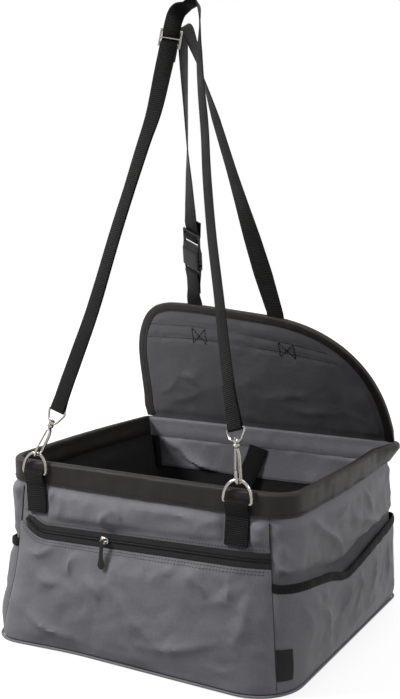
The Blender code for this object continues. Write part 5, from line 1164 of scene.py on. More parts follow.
POCKET_FOLDS = (((0.037, 0.094), (0.083, 0.077), 0.007, 0.55), ((0.079, 0.122), (0.095, 0.096), 0.006, 0.5),
                ((0.116, 0.106), (0.132, 0.070), 0.006, 0.6), ((0.256, 0.134), (0.266, 0.098), 0.006, 0.55),
                ((0.287, 0.134), (0.308, 0.100), 0.006, 0.55), ((0.266, 0.098), (0.308, 0.100), 0.006, 0.3),
                ((0.030, 0.045), (0.110, 0.016), 0.007, 0.6), ((0.150, 0.085), (0.214, 0.040), 0.009, 0.5),
                ((0.170, 0.030), (0.300, 0.055), 0.008, 0.5), ((0.326, 0.118), (0.300, 0.060), 0.008, 0.45),
                ((0.190, 0.115), (0.236, 0.125), 0.007, 0.4), ((0.020, 0.110), (0.060, 0.128), 0.006, 0.45))


def pocket_depth(s, z, u, v, crease, seed):
    """How far the front pocket's cloth stands out of the wall."""
    swell = POCKET_SWELL * np.sin(math.pi * u) * np.sin(math.pi * v)
    wave = creased(seed + 60, s, z, POCKET_FOLDS)
    hem = smooth(v / 0.10) * smooth((1.0 - v) / 0.08) * inside(u, 0.03)
    return POCKET_STAND + np.clip(np.clip(swell, 0.0, None) + (wave - RELIEF_MIDDLE) * crease * hem, 0.0, None)


def front_pocket(context):
    """The front pocket's cloth below the zip."""
    cloth = context.scene.seat_cloth
    us = side_shares(FRONT, cloth.grid)[:, None]
    u, v = arrays(us, np.linspace(0.0, 1.0, 36)[None, :])
    z = POCKET_LOW + (pocket_top(us) - POCKET_LOW) * v
    out = pocket_depth(u * side_length(FRONT), z, u, v, cloth.crease, cloth.seed)
    wall_sheet("pocket_cloth", FRONT + u, z, out + CLOTH, out, "grey", "front_pocket", "front_cloth")


def zip_grid(low, high, out):
    x, z, nx, nz = (value[:, None] for value in zip_line(np.linspace(0.0, 1.0, 120)))
    near = low if low > 0.0 else high
    end = np.sqrt(np.clip((x - ZIP_LEFT) / 0.009, 0.06, 1.0))
    reach = near + (np.linspace(low, high, 7)[None, :] - near) * end
    return front(x + nx * reach, z + nz * reach, out)


def zip_pieces(context):
    """The zip's tapes and its coil of moulded teeth."""
    half = COIL_WIDTH / 2.0
    low, high = half + GAP, half + GAP + ZIP_TAPE_WIDTH
    for way, ends in (("upper", (low, high)), ("lower", (-high, -low))):
        cloth_piece("tape_" + way, zip_grid(*ends, ZIP_STAND + ZIP_TAPE), zip_grid(*ends, ZIP_STAND), "tape",
                    "zip_tape_" + way)
    pitch = context.scene.seat_hardware.tooth_pitch
    count = int((ZIP_RIGHT - ZIP_LEFT) / pitch)
    verts, faces = [], []
    for k in range(count):
        side = 1 if k % 2 else -1
        x, z, nx, nz = (float(value) for value in zip_line((k + 0.5) / count))
        rows = [(x + nx * reach * half * side + way * spread * wide * pitch, z + nz * reach * half * side,
                 ZIP_STAND + COIL_DEPTH * rise * out)
                for reach, rise, wide in TOOTH_STATIONS
                for out, spread in TOOTH_LEVELS for way in (-1.0, 1.0)]
        ring = np.array((0, 2, 4, 5, 3, 1)) + len(verts)
        verts += [tuple(p) for p in front(*np.array(rows).T)]
        for a, b in ((ring + i, ring + i + 6) for i in range(0, 24, 6)):
            faces += quads(*(a, b, np.roll(b, -1), np.roll(a, -1))[::side])
        faces += [ring.tolist()[::side], (ring + 24).tolist()[::-side]]
    stands_for(add_mesh("zip_teeth", verts, faces, "coil", sharp=40.0), "zip_coil")


# Side pockets

SIDE_FOLDS = {
    "right": (((0.147, 0.098), (0.133, 0.050), 0.006, 0.6), ((0.185, 0.100), (0.173, 0.045), 0.007, 0.6),
              ((0.246, 0.105), (0.219, 0.046), 0.008, 0.5), ((0.031, 0.110), (0.048, 0.070), 0.005, 0.45),
              ((0.060, 0.100), (0.102, 0.036), 0.007, 0.4), ((0.279, 0.047), (0.160, 0.030), 0.008, 0.4),
              ((0.300, 0.105), (0.320, 0.040), 0.007, 0.45)),
    "left": (((0.05, 0.06), (0.30, 0.064), 0.009, 0.6), ((0.10, 0.03), (0.32, 0.028), 0.008, 0.5)),
}


def side_pocket_depth(side, name, u, z, top, crease, seed):
    """How far a side pocket's cloth stands out of the wall."""
    v = pocket_share(z, top)
    s = u * side_length(side)
    wave = creased(seed + 70 + side, s, z, SIDE_FOLDS[name])
    hem = smooth(v / 0.12) * smooth((1.0 - v) / 0.12) * inside(u, 0.05)
    if side == RIGHT_SIDE:
        hem = hem * smooth((s - LABEL_WIDTH - 0.006) / 0.02)
    swell = side_swell(side, u, v)
    return np.maximum(swell + (wave - RELIEF_MIDDLE) * crease * hem, np.minimum(swell, POCKET_STAND))


def side_pockets(context):
    """The pockets on both sides with their gathered elastic edges."""
    cloth = context.scene.seat_cloth
    for name, side in (("left", LEFT_SIDE), ("right", RIGHT_SIDE)):
        u, v = side_grid(side, cloth.grid, 0.0, 1.0, 28)
        top = side_pocket_top(side, u)
        z = POCKET_LOW + (top - POCKET_LOW) * v
        out = side_pocket_depth(side, name, u, z, top, cloth.crease, cloth.seed)
        wall_sheet(name + "_pocket_cloth", side + u, z, out + CLOTH, out, "grey", name + "_pocket", name + "_cloth")
        u, v = side_grid(side, 0.0014, 0.0, 1.0, 8)
        s = u * side_length(side)
        ends = inside(u, 0.02)
        gather = (0.5 + 0.5 * np.sin(s * 1500.0 + 2.0 * np.sin(s * 210.0))) * 0.0006 * ends
        gather = gather + Ripples(cloth.seed + 80 + side, 0.035, 0.010, 12)(s, v * 0.004) * 0.0012 * ends
        lift = (Ripples(cloth.seed + 85 + side, 0.06, 0.02, 10)(s, v * 0.0) - 0.5) * 0.002 * ends * v
        z = side_pocket_top(side, u) + GAP + ELASTIC_HEIGHT * v + lift
        base = side_swell(side, u, 1.0)
        crown = ELASTIC_DEPTH * (0.62 + 0.38 * np.sin(math.pi * np.clip(v, 0.02, 0.98)) ** 0.5)
        wall_sheet(name + "_elastic_edge", side + u, z, base + crown + gather, base + gather * 0.5, "elastic",
                   name + "_elastic", name + "_pocket_cloth", "gathered")


def seam_shade_cords(context):
    """Dark cords in the two front corner seams: painted shade of the seam gaps."""
    heights = np.linspace(0.008, RIM_TOP - CHANNEL_HEIGHT - 0.004, 80)
    stand = np.interp(heights, (0.135, 0.150), (0.0012, 0.0003)) + 0.0002 * np.sin(heights * 260.0)
    for name, place in (("seam_shade_cord_left", 0.0), ("seam_shade_cord_right", 1.0)):
        tube(name, wall(place, heights, stand), SEAM_SHADE_RADIUS, "binding", sides=6)


def blank_label(context):
    """The bare folded tag in the front right seam."""
    start = SEAM_GAP / side_length(RIGHT_SIDE)
    width = LABEL_WIDTH / side_length(RIGHT_SIDE, LABEL_BOTTOM)
    u, z = arrays((start + width * np.linspace(0.0, 1.0, 13))[:, None],
                  np.linspace(LABEL_BOTTOM, LABEL_BOTTOM + LABEL_HEIGHT, 20)[None, :])
    base = CLOTH + side_swell(RIGHT_SIDE, u, pocket_share(z, side_pocket_top(RIGHT_SIDE, u))) + 2.0 * GAP
    base = base + 0.0014 * ((u - start) / width) ** 2 * (0.6 + 0.4 * np.sin((z - LABEL_BOTTOM) * 120.0))
    wall_sheet("blank_tag", RIGHT_SIDE + u, z, base + LABEL_DEPTH, base, "tape", "side_label",
               "right_pocket_cloth", "folded")


# Front tabs

def hook_line():
    """The line along X through the tops of both rings, on which the hooks hang."""
    middle = front_vector(TAB_SHIFT, RING_BAR_HEIGHT, RING_BAR_OUT)
    rise = (front_vector(TAB_SHIFT, RIM_TOP, 0.0) - front_vector(TAB_SHIFT, TAB_BOTTOM, 0.0)).normalized()
    return Vector((TAB_SHIFT - TAB_SPREAD, middle.y, middle.z)) + rise * RING_RISE


HOOK_LINE = hook_line()


def ring_tabs(context):
    """The webbing tabs that hold the rings on the front wall."""
    radius = RING_WIRE + GAP + WEBBING / 2.0
    sewn = GAP + WEBBING / 2.0
    over = ARCH_OUT + sewn
    step_low = RIM_TOP - BINDING_HEIGHT - WEBBING * 2.0
    step_high = RIM_TOP - BINDING_HEIGHT - GAP
    second = WEBBING + GAP
    path = [(sewn, TAB_BOTTOM), (sewn, step_low), (over, step_high), (over, RING_BAR_HEIGHT - radius * 0.5)]
    path += [(RING_BAR_OUT + radius * c, RING_BAR_HEIGHT + radius * s) for c, s in turned(steps(180.0, 0.0, 12))]
    path += [(RING_BAR_OUT + radius * 0.8, RING_BAR_HEIGHT - radius), (over + second, step_high + GAP),
             (sewn + second, step_low - GAP), (sewn + second, TAB_BOTTOM)]
    half, low, high = TAB_WIDTH / 2.0 - 0.003, TAB_BOTTOM + 0.003, step_low - 0.004
    for name, x, lean in (("ring_tab_left", TAB_SHIFT - TAB_SPREAD, TAB_LEAN),
                          ("ring_tab_right", TAB_SHIFT + TAB_SPREAD, 0.0)):
        def surface(a, b, extra, lean=lean):
            return front(a + lean * (1.0 - smooth((b - TAB_BOTTOM) / 0.045)), b, extra)
        points = [Vector(surface(x, z, out)) for out, z in dense(path, 90)]
        webbing(name + "_webbing", points, [X_AXIS] * len(points), TAB_WIDTH, name, "basket")
        box = [(x - half, low), (x + half, low), (x + half, high), (x - half, high), (x - half, low)]
        sew(name + "_sewing", lambda a, b, extra: surface(a, b, sewn + second + WEBBING / 2.0 + extra),
            [dense(box, 80)], "thread_black")


# Front strap

def strap_plane(x, up):
    return Vector((x, HOOK_LINE.y + FRONT_APEX_BACK * up / FRONT_APEX_RISE, HOOK_LINE.z + up))


@cache
def leg(side):
    """One leg's points, their shares of its length, and its length."""
    left = side == LEFT
    eye_x = LEFT_EYE if left else RIGHT_EYE
    edge = FRONT_APEX_SHIFT + side * FRONT_APEX_HALF
    points = [strap_plane(lerp(eye_x, edge, across), lerp(EYE_RISE, FRONT_APEX_RISE, up))
              for across, up in (FRONT_LEFT_SHARES if left else FRONT_RIGHT_SHARES)]
    drop = FRONT_APEX_DROP if left else 0.0
    points.append(strap_plane(lerp(edge, FRONT_APEX_SHIFT, 0.35), FRONT_APEX_RISE - drop))
    points.append(strap_plane(FRONT_APEX_SHIFT, FRONT_APEX_RISE - FRONT_APEX_DROP * 0.4))
    points = np.array(curve_through(points, 5))
    run = run_along(points)
    return points, run / run[-1], run[-1]


def strap_point(side, share):
    points, shares, _ = leg(side)
    return Vector(at_run(points, shares, share))


def strap_frame(side, share):
    """The direction of travel towards the top, across the webbing, and out of its face."""
    way = (strap_point(side, min(share + 0.004, 1.0)) - strap_point(side, max(share - 0.004, 0.0))).normalized()
    level = (X_AXIS - way * X_AXIS.dot(way)).normalized()
    if share > TOP_FRAME_SHARE:
        tilt = strap_plane(0.0, FRONT_APEX_RISE) - strap_plane(0.0, 0.0)
        level = way.cross(X_AXIS.cross(tilt)).normalized()
    turn = math.radians(float(np.interp(share, *zip(*(FRONT_LEFT_TURNS if side == LEFT else FRONT_RIGHT_TURNS)))))
    across = level * math.cos(turn) + way.cross(level).normalized() * math.sin(turn)
    return way, across, way.cross(across).normalized()


def front_strap(context):
    """The front strap, doubled on its left leg: from its sewn end at the glide, round the left
    eye, over the top and down to the right eye."""
    length = leg(LEFT)[2]
    half = (WEBBING + GAP) / 2.0
    eye = EYE_WIRE + GAP + WEBBING / 2.0
    bar = GLIDE_BAR * 0.75 + GAP + WEBBING / 2.0
    plane = -half - bar
    glide, pitch, near = GLIDE_SHARE, GLIDE_PITCH, NEAR_EYE_SHARE
    top = glide - (pitch + bar) / length
    points, sides = [], []

    def add(side, share, out, along=0.0):
        way, across, normal = strap_frame(side, share)
        points.append(strap_point(side, share) + way * along + normal * out)
        sides.append(across)

    def add_turn(side, share, centre, along, radius, degrees):
        for c, s in turned(degrees):
            add(side, share, centre + radius * c, along + radius * s)

    def add_run(side, first, last, count, out):
        for share in steps(first, last, count):
            add(side, share, out)
    for back in (0.5, 0.375, 0.25, 0.125):
        add(LEFT, glide, plane - bar, -pitch - SEWN_BACK * back)
    add_turn(LEFT, glide, plane, -pitch, bar, steps(180.0, 0.0, 8))
    add_run(LEFT, top, near, 150, -half)
    add_turn(LEFT, 0.0, 0.0, 0.0, eye, steps(180.0, 360.0, 10))
    add_run(LEFT, near, top, 150, half)
    add(LEFT, glide, half, -pitch + bar * 0.6)
    add_turn(LEFT, glide, plane, 0.0, bar, (-125.0, -155.0, -185.0, -215.0, -240.0))
    add_turn(LEFT, glide, plane, pitch, bar, (-40.0, -10.0, 15.0, 45.0))
    add_run(LEFT, glide + (pitch + bar * 3.0) / length, 1.0, 22, 0.0)
    for first, last, count in ((1.0, OVER_TOP_SHARE, 40), (OVER_TOP_SHARE, FREE_RUN_SHARE, 130)):
        for share in steps(first, last, count)[1:]:
            add(RIGHT, share, 0.0)
    add(RIGHT, near, half)
    add_turn(RIGHT, 0.0, 0.0, 0.0, eye, steps(0.0, -180.0, 10))
    for share in (0.0, 0.25, 0.5, 0.75, 1.0):
        out = -half * 2.0 - GAP * share if share else -half - GAP
        add(RIGHT, near + SEWN_BACK / leg(RIGHT)[2] * share, out)
    webbing("front_webbing", points, sides, FRONT_STRAP_WIDTH, "front_strap", "front_strap")


# Back flap

def hinge_line():
    middle = wall(REAR + 0.5, ARCH_HEIGHT, ARCH_CENTRE)
    return Vector((0.0, middle[1], middle[2]))


HINGE = hinge_line()
FLAP_HALF = FLAP_BOARD / 2.0 + GAP + FLAP_CLOTH
FLAP_FOOT = ARCH_RADIUS + GAP * 2.0
ANCHOR_OUT = FLAP_HALF + GAP + FLAP_BINDING + GAP + WEBBING / 2.0


def flap(x, rise, out):
    """Points of the flap by place across, distance from the fold and distance out of its face."""
    x, rise, out = arrays(x, rise, out)
    share = (x - FLAP_LEFT_PLACE) / (FLAP_RIGHT_PLACE - FLAP_LEFT_PLACE)
    lean = np.radians(lerp(FLAP_LEFT_LEAN_DEG, FLAP_RIGHT_LEAN_DEG, share))
    return np.stack([x, HINGE.y - rise * np.sin(lean) - out * np.cos(lean),
                     HINGE.z + rise * np.cos(lean) - out * np.sin(lean)], axis=-1)


def flap_draw(rise):
    """How far the flap's left edge is drawn in at a distance from the fold."""
    return FLAP_DRAW * (1.0 - smooth((rise - FLAP_DRAW_START) / FLAP_DRAW_RISE))


def flap_outline():
    """Evenly spread points (x, rise) of the flap's edge, from the left foot over the top to the right."""
    points = []
    for share in np.linspace(0.008, 0.499, 120):
        turn = math.radians(180.0 - 180.0 * share)
        rise = FLAP_HEIGHT * abs(math.sin(turn)) ** FLAP_LEFT_POWER
        x = FLAP_LEFT_CENTRE - (FLAP_LEFT_CENTRE - FLAP_LEFT) * abs(math.cos(turn)) ** FLAP_LEFT_POWER
        points.append((x + flap_draw(rise), rise))
    for share in np.linspace(0.501, 0.965, 120):
        turn = math.radians(180.0 * (1.0 - share))
        x = FLAP_RIGHT_CENTRE + (FLAP_RIGHT - FLAP_RIGHT_CENTRE) * abs(math.cos(turn)) ** FLAP_RIGHT_POWER
        points.append((x, FLAP_RIGHT_HEIGHT * abs(math.sin(turn)) ** FLAP_RIGHT_POWER))
    points = [p for p in points if p[1] > FLAP_SIDE_START * 1.4]
    ends = ((FLAP_LEFT + flap_draw(FLAP_SIDE_START), FLAP_SIDE_START), (FLAP_RIGHT, FLAP_SIDE_START))
    return dense([ends[0], *points, ends[1]], 170)


def taped_outline(count):
    """The flap's edge with its lower corners, where the tape runs on down to the fold."""
    edge = flap_outline()
    foot = FLAP_FOOT + 0.0010
    return dense([(edge[0][0] + 0.0050, foot), *edge[1:-1], (edge[-1][0] - 0.0020, foot)], count)


def outline_ways(outline):
    ahead = np.vstack([outline[1:], outline[-1:]]) - np.vstack([outline[:1], outline[:-1]])
    ahead /= np.linalg.norm(ahead, axis=1)[:, None]
    return np.stack([-ahead[:, 1], ahead[:, 0]], axis=1)


def flap_grid():
    """Places (x, rise) of the flap's cloth, in columns from the fold to the edge, and how far they
    are from the edge."""
    outline = flap_outline()
    heads = (outline - outline_ways(outline) * 2.0 * GAP)[2:-2]
    turn = int(np.argmax(heads[:, 0] > FLAP_FAN))
    run = run_along(heads)
    xs = heads[:, 0].copy()
    xs[:turn + 1] = lerp(heads[0, 0] + FLAP_DRAW / 2.0, heads[turn, 0], run[:turn + 1] / run[turn])
    slope = np.clip(np.maximum(FLAP_FOLD_LEFT - xs, xs - FLAP_FOLD_RIGHT), 0.0, None) * FOLD_SLOPE
    feet = np.stack([xs, FLAP_FOOT + slope], axis=1)
    places = feet[:, None] + (heads - feet)[:, None] * np.linspace(0.0, 1.0, 44)[None, :, None]
    far = np.min(np.linalg.norm(places[:, :, None] - outline[None, None, ::2], axis=-1), axis=-1)
    return places[..., 0], places[..., 1], far


FLAP_FOLDS = (((-0.147, 0.082), (-0.105, 0.066), 0.006, 0.8), ((-0.189, 0.042), (-0.150, 0.075), 0.006, 0.6),
              ((-0.180, 0.034), (-0.090, 0.060), 0.007, 0.5), ((-0.02, 0.060), (0.113, 0.069), 0.008, 0.5),
              ((0.028, 0.049), (0.124, 0.045), 0.007, 0.5), ((0.124, 0.060), (0.168, 0.033), 0.006, 0.5))
STITCH_LINE_HIGH = ((-0.202, 0.158), (-0.110, 0.161), (-0.025, 0.160), (0.062, 0.155), (0.125, 0.149))
STITCH_LINE_LOW = ((-0.205, 0.137), (-0.110, 0.141), (-0.025, 0.142), (0.062, 0.138), (0.141, 0.134))


def flap_dimple(x, rise):
    """The shallow grooves that the sewing draws into the flap's cloth."""
    found = np.zeros(x.shape)
    for xs, rises in (zip(*line) for line in (STITCH_LINE_HIGH, STITCH_LINE_LOW)):
        ends = smooth((x - xs[0]) / 0.01) * smooth((xs[-1] - x) / 0.01)
        found = np.maximum(found, np.exp(-((rise - np.interp(x, xs, rises)) / DIMPLE_WIDTH) ** 2) * ends)
    return found


def flap_lift(x, rise, way):
    """How far the flap's cloth stands off its board, away from the edge."""
    cloth = bpy.context.scene.seat_cloth
    crease = creased(cloth.seed + 90 + way, x + 0.25, rise, ()) + folds(x, rise, FLAP_FOLDS) * FOLD_HEIGHT
    lift = np.clip(crease, 0.0, 2.0) * cloth.crease * 0.40
    return lift * (1.0 - flap_dimple(x, rise) * 0.85) if way > 0 else lift


def flap_cloths(context):
    """The flap's grey cloth on both faces, in a copy of the grey cloth darkened as painted shade."""
    x, rise, far = flap_grid()
    free = smooth((far - FLAP_BINDING_WIDTH - 0.0005) / 0.010) * smooth((rise - FLAP_FOOT - 0.003) / 0.012)
    for name, way, cad_node in (("flap_face", 1, "flap_front"), ("flap_rear", -1, "flap_back")):
        lift = flap_lift(x, rise, way) * free
        for anchor in (ANCHOR_LEFT, ANCHOR_RIGHT) if way < 0 else ():
            lift = lift * smooth((np.abs(x - anchor) - REAR_STRAP_WIDTH * 0.55) / 0.01)
        outer = flap(x, rise, way * (FLAP_HALF + lift))
        inner = flap(x, rise, way * (FLAP_BOARD / 2.0 + GAP + lift * 0.9))
        # Both faces take the grey cloth darkened as painted shade.
        sheet_piece(name, outer, inner, "grey_flap_painted_shade", cad_node, "flap_board", body="back_flap")


def flap_tape(context):
    """The black binding round the flap's edge."""
    outline = taped_outline(250)
    top = FLAP_HALF + GAP + FLAP_BINDING
    edge = GAP + FLAP_BINDING
    width = FLAP_BINDING_WIDTH
    section = [(-width * share, top) for share in (1.0, 0.75, 0.5, 0.25, 0.0)]
    section += [(edge * 0.7, top * 0.85), (edge, top * 0.5), (edge, 0.0), (edge, -top * 0.5),
                (edge * 0.7, -top * 0.85), (0.0, -top), (-width * 0.5, -top), (-width, -top),
                (-width, FLAP_BINDING - top), (0.0, FLAP_BINDING - top), (0.0, top - FLAP_BINDING),
                (-width, top - FLAP_BINDING)]
    waves = Ripples(context.scene.seat_cloth.seed + 99, 0.03, 0.008, 12)
    rings = []
    for run, point, way in zip(np.linspace(0.0, 0.62, len(outline)), outline, outline_ways(outline)):
        ring = []
        wider = 1.0 + 0.30 * float(smooth((-0.195 - point[0]) / 0.02))
        for k, (reach, out) in enumerate(section):
            if k < 5:
                out += 0.0005 * float(waves(run, reach)) * (1.0 if k else 0.4)
            elif k < 9:
                reach += 0.0003 * float(waves(run, 0.2))
            x, rise = point + way * (reach * wider if reach < -0.001 else reach)
            ring.append(flap(x, rise, out))
        rings.append(ring)
    stands_for(rings_body("flap_edge_tape", rings, "binding", "back_flap"), "flap_binding")


# Rear strap and buckle

def anchored(x, rise):
    """A place on the webbing that is sewn to the flap's back."""
    return Vector(flap(x, rise, -ANCHOR_OUT))


LEG_FOOT = anchored(LEFT_LEG_FOOT, FLAP_HEIGHT + STRAP_CLEAR)


def rear_share(height):
    return (height - LEG_FOOT.z) / (REAR_APEX_HEIGHT - LEG_FOOT.z)


def rear_plane(x, height):
    return Vector((x, lerp(LEG_FOOT.y, REAR_APEX_PLACE, rear_share(height)), height))


def left_leg(height):
    return rear_plane(lerp(LEG_FOOT.x, REAR_APEX_SHIFT - REAR_APEX_HALF, rear_share(height)), height)


def turned_across(up, degrees):
    level = (X_AXIS - up * X_AXIS.dot(up)).normalized()
    turn = math.radians(degrees)
    return level * math.cos(turn) + level.cross(up) * math.sin(turn)


BUCKLE_CENTRE = left_leg(LEG_FOOT.z + BUCKLE_RISE)
BUCKLE_UP = (left_leg(REAR_APEX_HEIGHT) - BUCKLE_CENTRE).normalized()
BUCKLE_ACROSS = turned_across(BUCKLE_UP, BUCKLE_TURN_DEG)
BUCKLE_OUT = BUCKLE_ACROSS.cross(BUCKLE_UP).normalized()
SOCKET_BAR = -SOCKET_LENGTH + BUCKLE_BAR / 2.0
BAR_TURN = BUCKLE_BAR * 0.70 + GAP + WEBBING / 2.0
PLUG_LOW_BAR = GAP + PLUG_SHOULDER + PLUG_PITCH - BUCKLE_BAR / 2.0
PLUG_HIGH_BAR = PLUG_LOW_BAR + PLUG_PITCH
HALF_PLY = (WEBBING + GAP) / 2.0


def buckle_point(up, out):
    """A place in the middle of the buckle, up it and out of it."""
    return BUCKLE_CENTRE + BUCKLE_UP * up + BUCKLE_OUT * out


def flap_run(low_x, high_x, height):
    """The webbing's places up the flap's back and its ways across."""
    places = [(lerp(low_x, high_x, share), lerp(ANCHOR_LOW, height, share)) for share in steps(0.0, 1.0, 10)]
    places.append((high_x, height + STRAP_CLEAR))
    reach = REAR_STRAP_WIDTH / 2.0
    return ([anchored(x, rise) for x, rise in places],
            [(anchored(x + reach, rise) - anchored(x - reach, rise)).normalized() for x, rise in places])


def rear_webbing(name, points, across, cad_node):
    """Webbing of the rear strap, with extra stations where two lie far apart."""
    dense_points, dense_across = [points[0]], [across[0]]
    for i in range(1, len(points)):
        count = max(1, int((points[i] - points[i - 1]).length / STATION_SPACE))
        for share in steps(0.0, 1.0, count)[1:]:
            dense_points.append(points[i - 1].lerp(points[i], share))
            dense_across.append(across[i - 1].lerp(across[i], share).normalized())
    webbing(name, dense_points, dense_across, REAR_STRAP_WIDTH, cad_node, "back_flap")


def rear_stub(context):
    """The short webbing from the flap's back to the buckle's socket."""
    points, across = flap_run(ANCHOR_LEFT, LEFT_LEG_FOOT, FLAP_HEIGHT)
    points += [buckle_point(SOCKET_BAR - SEWN_BACK * share, HALF_PLY) for share in (1.0, 0.45)]
    points += [buckle_point(SOCKET_BAR + BAR_TURN * s, BAR_TURN * c) for c, s in turned(steps(0.0, 180.0, 12))]
    points += [buckle_point(SOCKET_BAR - SEWN_BACK * share, -HALF_PLY) for share in (0.45, 0.9)]
    across += [BUCKLE_ACROSS] * (len(points) - len(across))
    rear_webbing("buckle_webbing", points, across, "rear_strap_stub")


def rear_strap(context):
    """The long rear webbing: up from the flap, over the top and down to the buckle's ladder."""
    controls, across = flap_run(ANCHOR_RIGHT, RIGHT_LEG_FOOT, FLAP_RIGHT_HEIGHT)
    flat = len(controls) - 1
    rise = (rear_plane(0.0, REAR_APEX_HEIGHT) - rear_plane(0.0, BUCKLE_CENTRE.z)).normalized()
    right_edge, left_edge = REAR_APEX_SHIFT + REAR_APEX_HALF, REAR_APEX_SHIFT - REAR_APEX_HALF
    foot, top, shoulder = controls[-1], REAR_APEX_HEIGHT, REAR_APEX_HEIGHT - REAR_APEX_HALF
    lag = foot.y - rear_plane(0.0, foot.z).y

    def add(x, height, degrees, back=0.0):
        controls.append(rear_plane(x, height) + Vector((0.0, back, 0.0)))
        across.append(turned_across(rise, degrees))
    for share, degrees in REAR_RIGHT_SHARES:
        add(lerp(RIGHT_LEG_FOOT, right_edge, share), lerp(foot.z, top, share), degrees, lag * (1.0 - share))
    for edge, height in ((right_edge, shoulder), (REAR_APEX_SHIFT, top), (left_edge, shoulder)):
        add(lerp(edge, REAR_APEX_SHIFT, 0.15), height, 89.0)
    plug = buckle_point(PLUG_HIGH_BAR, 0.0)
    for share, degrees in REAR_LEFT_SHARES:
        add(lerp(left_edge, plug.x, share), lerp(shoulder, plug.z, share), degrees)
    count = 12
    points = controls[:flat] + curve_through(controls[flat:], count)
    ways = across[:flat]
    for i in range(len(points) - flat):
        low, part = divmod(i, count)
        low += flat
        ways.append(across[low].lerp(across[min(low + 1, len(across) - 1)], part / count).normalized())
    ladder = [buckle_point(PLUG_HIGH_BAR + BAR_TURN * LADDER_RUN, -HALF_PLY)]
    for bar, degrees in ((PLUG_HIGH_BAR, (50.0, 15.0, -15.0, -45.0)), (PLUG_LOW_BAR, steps(-225.0, 15.0, 12))):
        ladder += [buckle_point(bar + BAR_TURN * s, -BAR_TURN * c) for c, s in turned(degrees)]
    lift = -(BAR_TURN + WEBBING + GAP * 2.0)
    ladder += [buckle_point(PLUG_HIGH_BAR - BAR_TURN, lift), buckle_point(PLUG_HIGH_BAR, lift),
               buckle_point(PLUG_HIGH_BAR + SEWN_BACK * 0.5, lift - WEBBING)]
    rear_webbing("rear_webbing", points + ladder, ways + [BUCKLE_ACROSS] * len(ladder), "rear_strap")


def tether(context):
    """The webbing inside the basket that the dog's harness is clipped to."""
    def behind(height):
        return wall(REAR + 0.5, height, ARCH_IN - GAP * 2.0 - WEBBING / 2.0)[1]
    top = RIM_TOP - CHANNEL_HEIGHT
    drop = top - TETHER_BOTTOM
    points = []
    for down, drift, forward in TETHER_SHARES:
        height = top - drop * down
        points.append(Vector((TETHER_TOP_SHIFT + TETHER_DRIFT * drift,
                              behind(height) - TETHER_STAND_OFF * forward, height)))
    line = points[:1] + curve_through(points[1:], 8)
    tilt = Vector((1.0, 0.0, TETHER_DRIFT / drop)).normalized()
    webbing("tether_webbing", line, [tilt] * len(line), TETHER_WIDTH, "safety_tether", "safety_tether")


# Sewing

def row(a, b):
    return np.stack(np.broadcast_arrays(a, b), axis=1)


def sewing(context):
    """The rows of stitches that show."""
    cloth = context.scene.seat_cloth
    length = side_length(FRONT)

    def on_pocket(u, v, extra):
        z = POCKET_LOW + (pocket_top(u) - POCKET_LOW) * v
        return wall(FRONT + u, z, pocket_depth(u * length, z, u, v, cloth.crease, cloth.seed) + CLOTH + extra)

    def on_binding(place, z, extra):
        return wall(place, z, ARCH_OUT + 0.0004 + extra)

    def on_facing(u, z, extra):
        return wall(REAR + u, z, WALL_IN - GAP - LINING - 0.0006 - extra)

    def on_flap(x, rise, extra):
        return flap(x, rise, FLAP_HALF + flap_lift(x, rise, 1) + THREAD_STAND + extra)

    def on_tape(x, rise, extra):
        return flap(x, rise, FLAP_HALF + GAP + FLAP_BINDING + THREAD_STAND + extra)
    us = np.linspace(0.012, 0.988, 160)
    sew("pocket_hem_sewing", on_pocket, [row(us, v) for v in POCKET_HEM_ROWS])
    heights = zip_edge(wall(us, ZIP_HEIGHT, 0.0)[..., 0], POCKET_REACH + 0.002)
    sew("zip_top_sewing", lambda u, z, extra: wall(FRONT + u, z, 0.0002 + extra), [row(us, heights)])
    places = np.linspace(-0.98, 1.98, 700)
    tabs = [tab_share(side) + way * 0.048 for side in (LEFT, RIGHT) for way in (-1, 1)]
    breaks = [places[0], *tabs, places[-1]]
    sew("rim_sewing", on_binding,
        [row(places[(places > a) & (places < b)], RIM_TOP - BINDING_HEIGHT + RIM_SEWING_RISE)
         for a, b in zip(breaks[::2], breaks[1::2])], "thread_black")
    sew("facing_sewing", on_facing, [row(np.linspace(0.058, 0.942, 150), FACING_BOTTOM + 0.003)])
    crosses = [dense([(x - half, low), (x + half, high), (x + half, low), (x - half, high), (x - half, low)], 60)
               for x, low, high, half in STITCH_CROSSES]
    sew("flap_sewing", on_flap, [dense(line, 90) for line in (STITCH_LINE_HIGH, STITCH_LINE_LOW)], "thread_black",
        "back_flap", 1.4)
    sew("flap_cross_sewing", on_flap, crosses, "thread_black", "back_flap", 1.7)
    outline = flap_outline()
    line = outline - outline_ways(outline) * (FLAP_BINDING_WIDTH - TAPE_SEWING_INSET)
    sew("flap_tape_sewing", on_tape, [line[2:-2]], "thread_black", "back_flap")


# Metal and plastic

WIRES = tuple(f"{piece}_{side}" for piece in ("d_ring", "snap_hook", "snap_gate", "snap_eye")
              for side in ("left", "right"))
BUCKLE = ("buckle_socket", "buckle_plug", "buckle_prong_left", "buckle_prong_right")
HARDWARE = {"nickel": (*WIRES, "tri_glide", "zip_slider"), "plastic": (*BUCKLE, "zip_puller"),
            "board": ("base_board", "flap_board")}


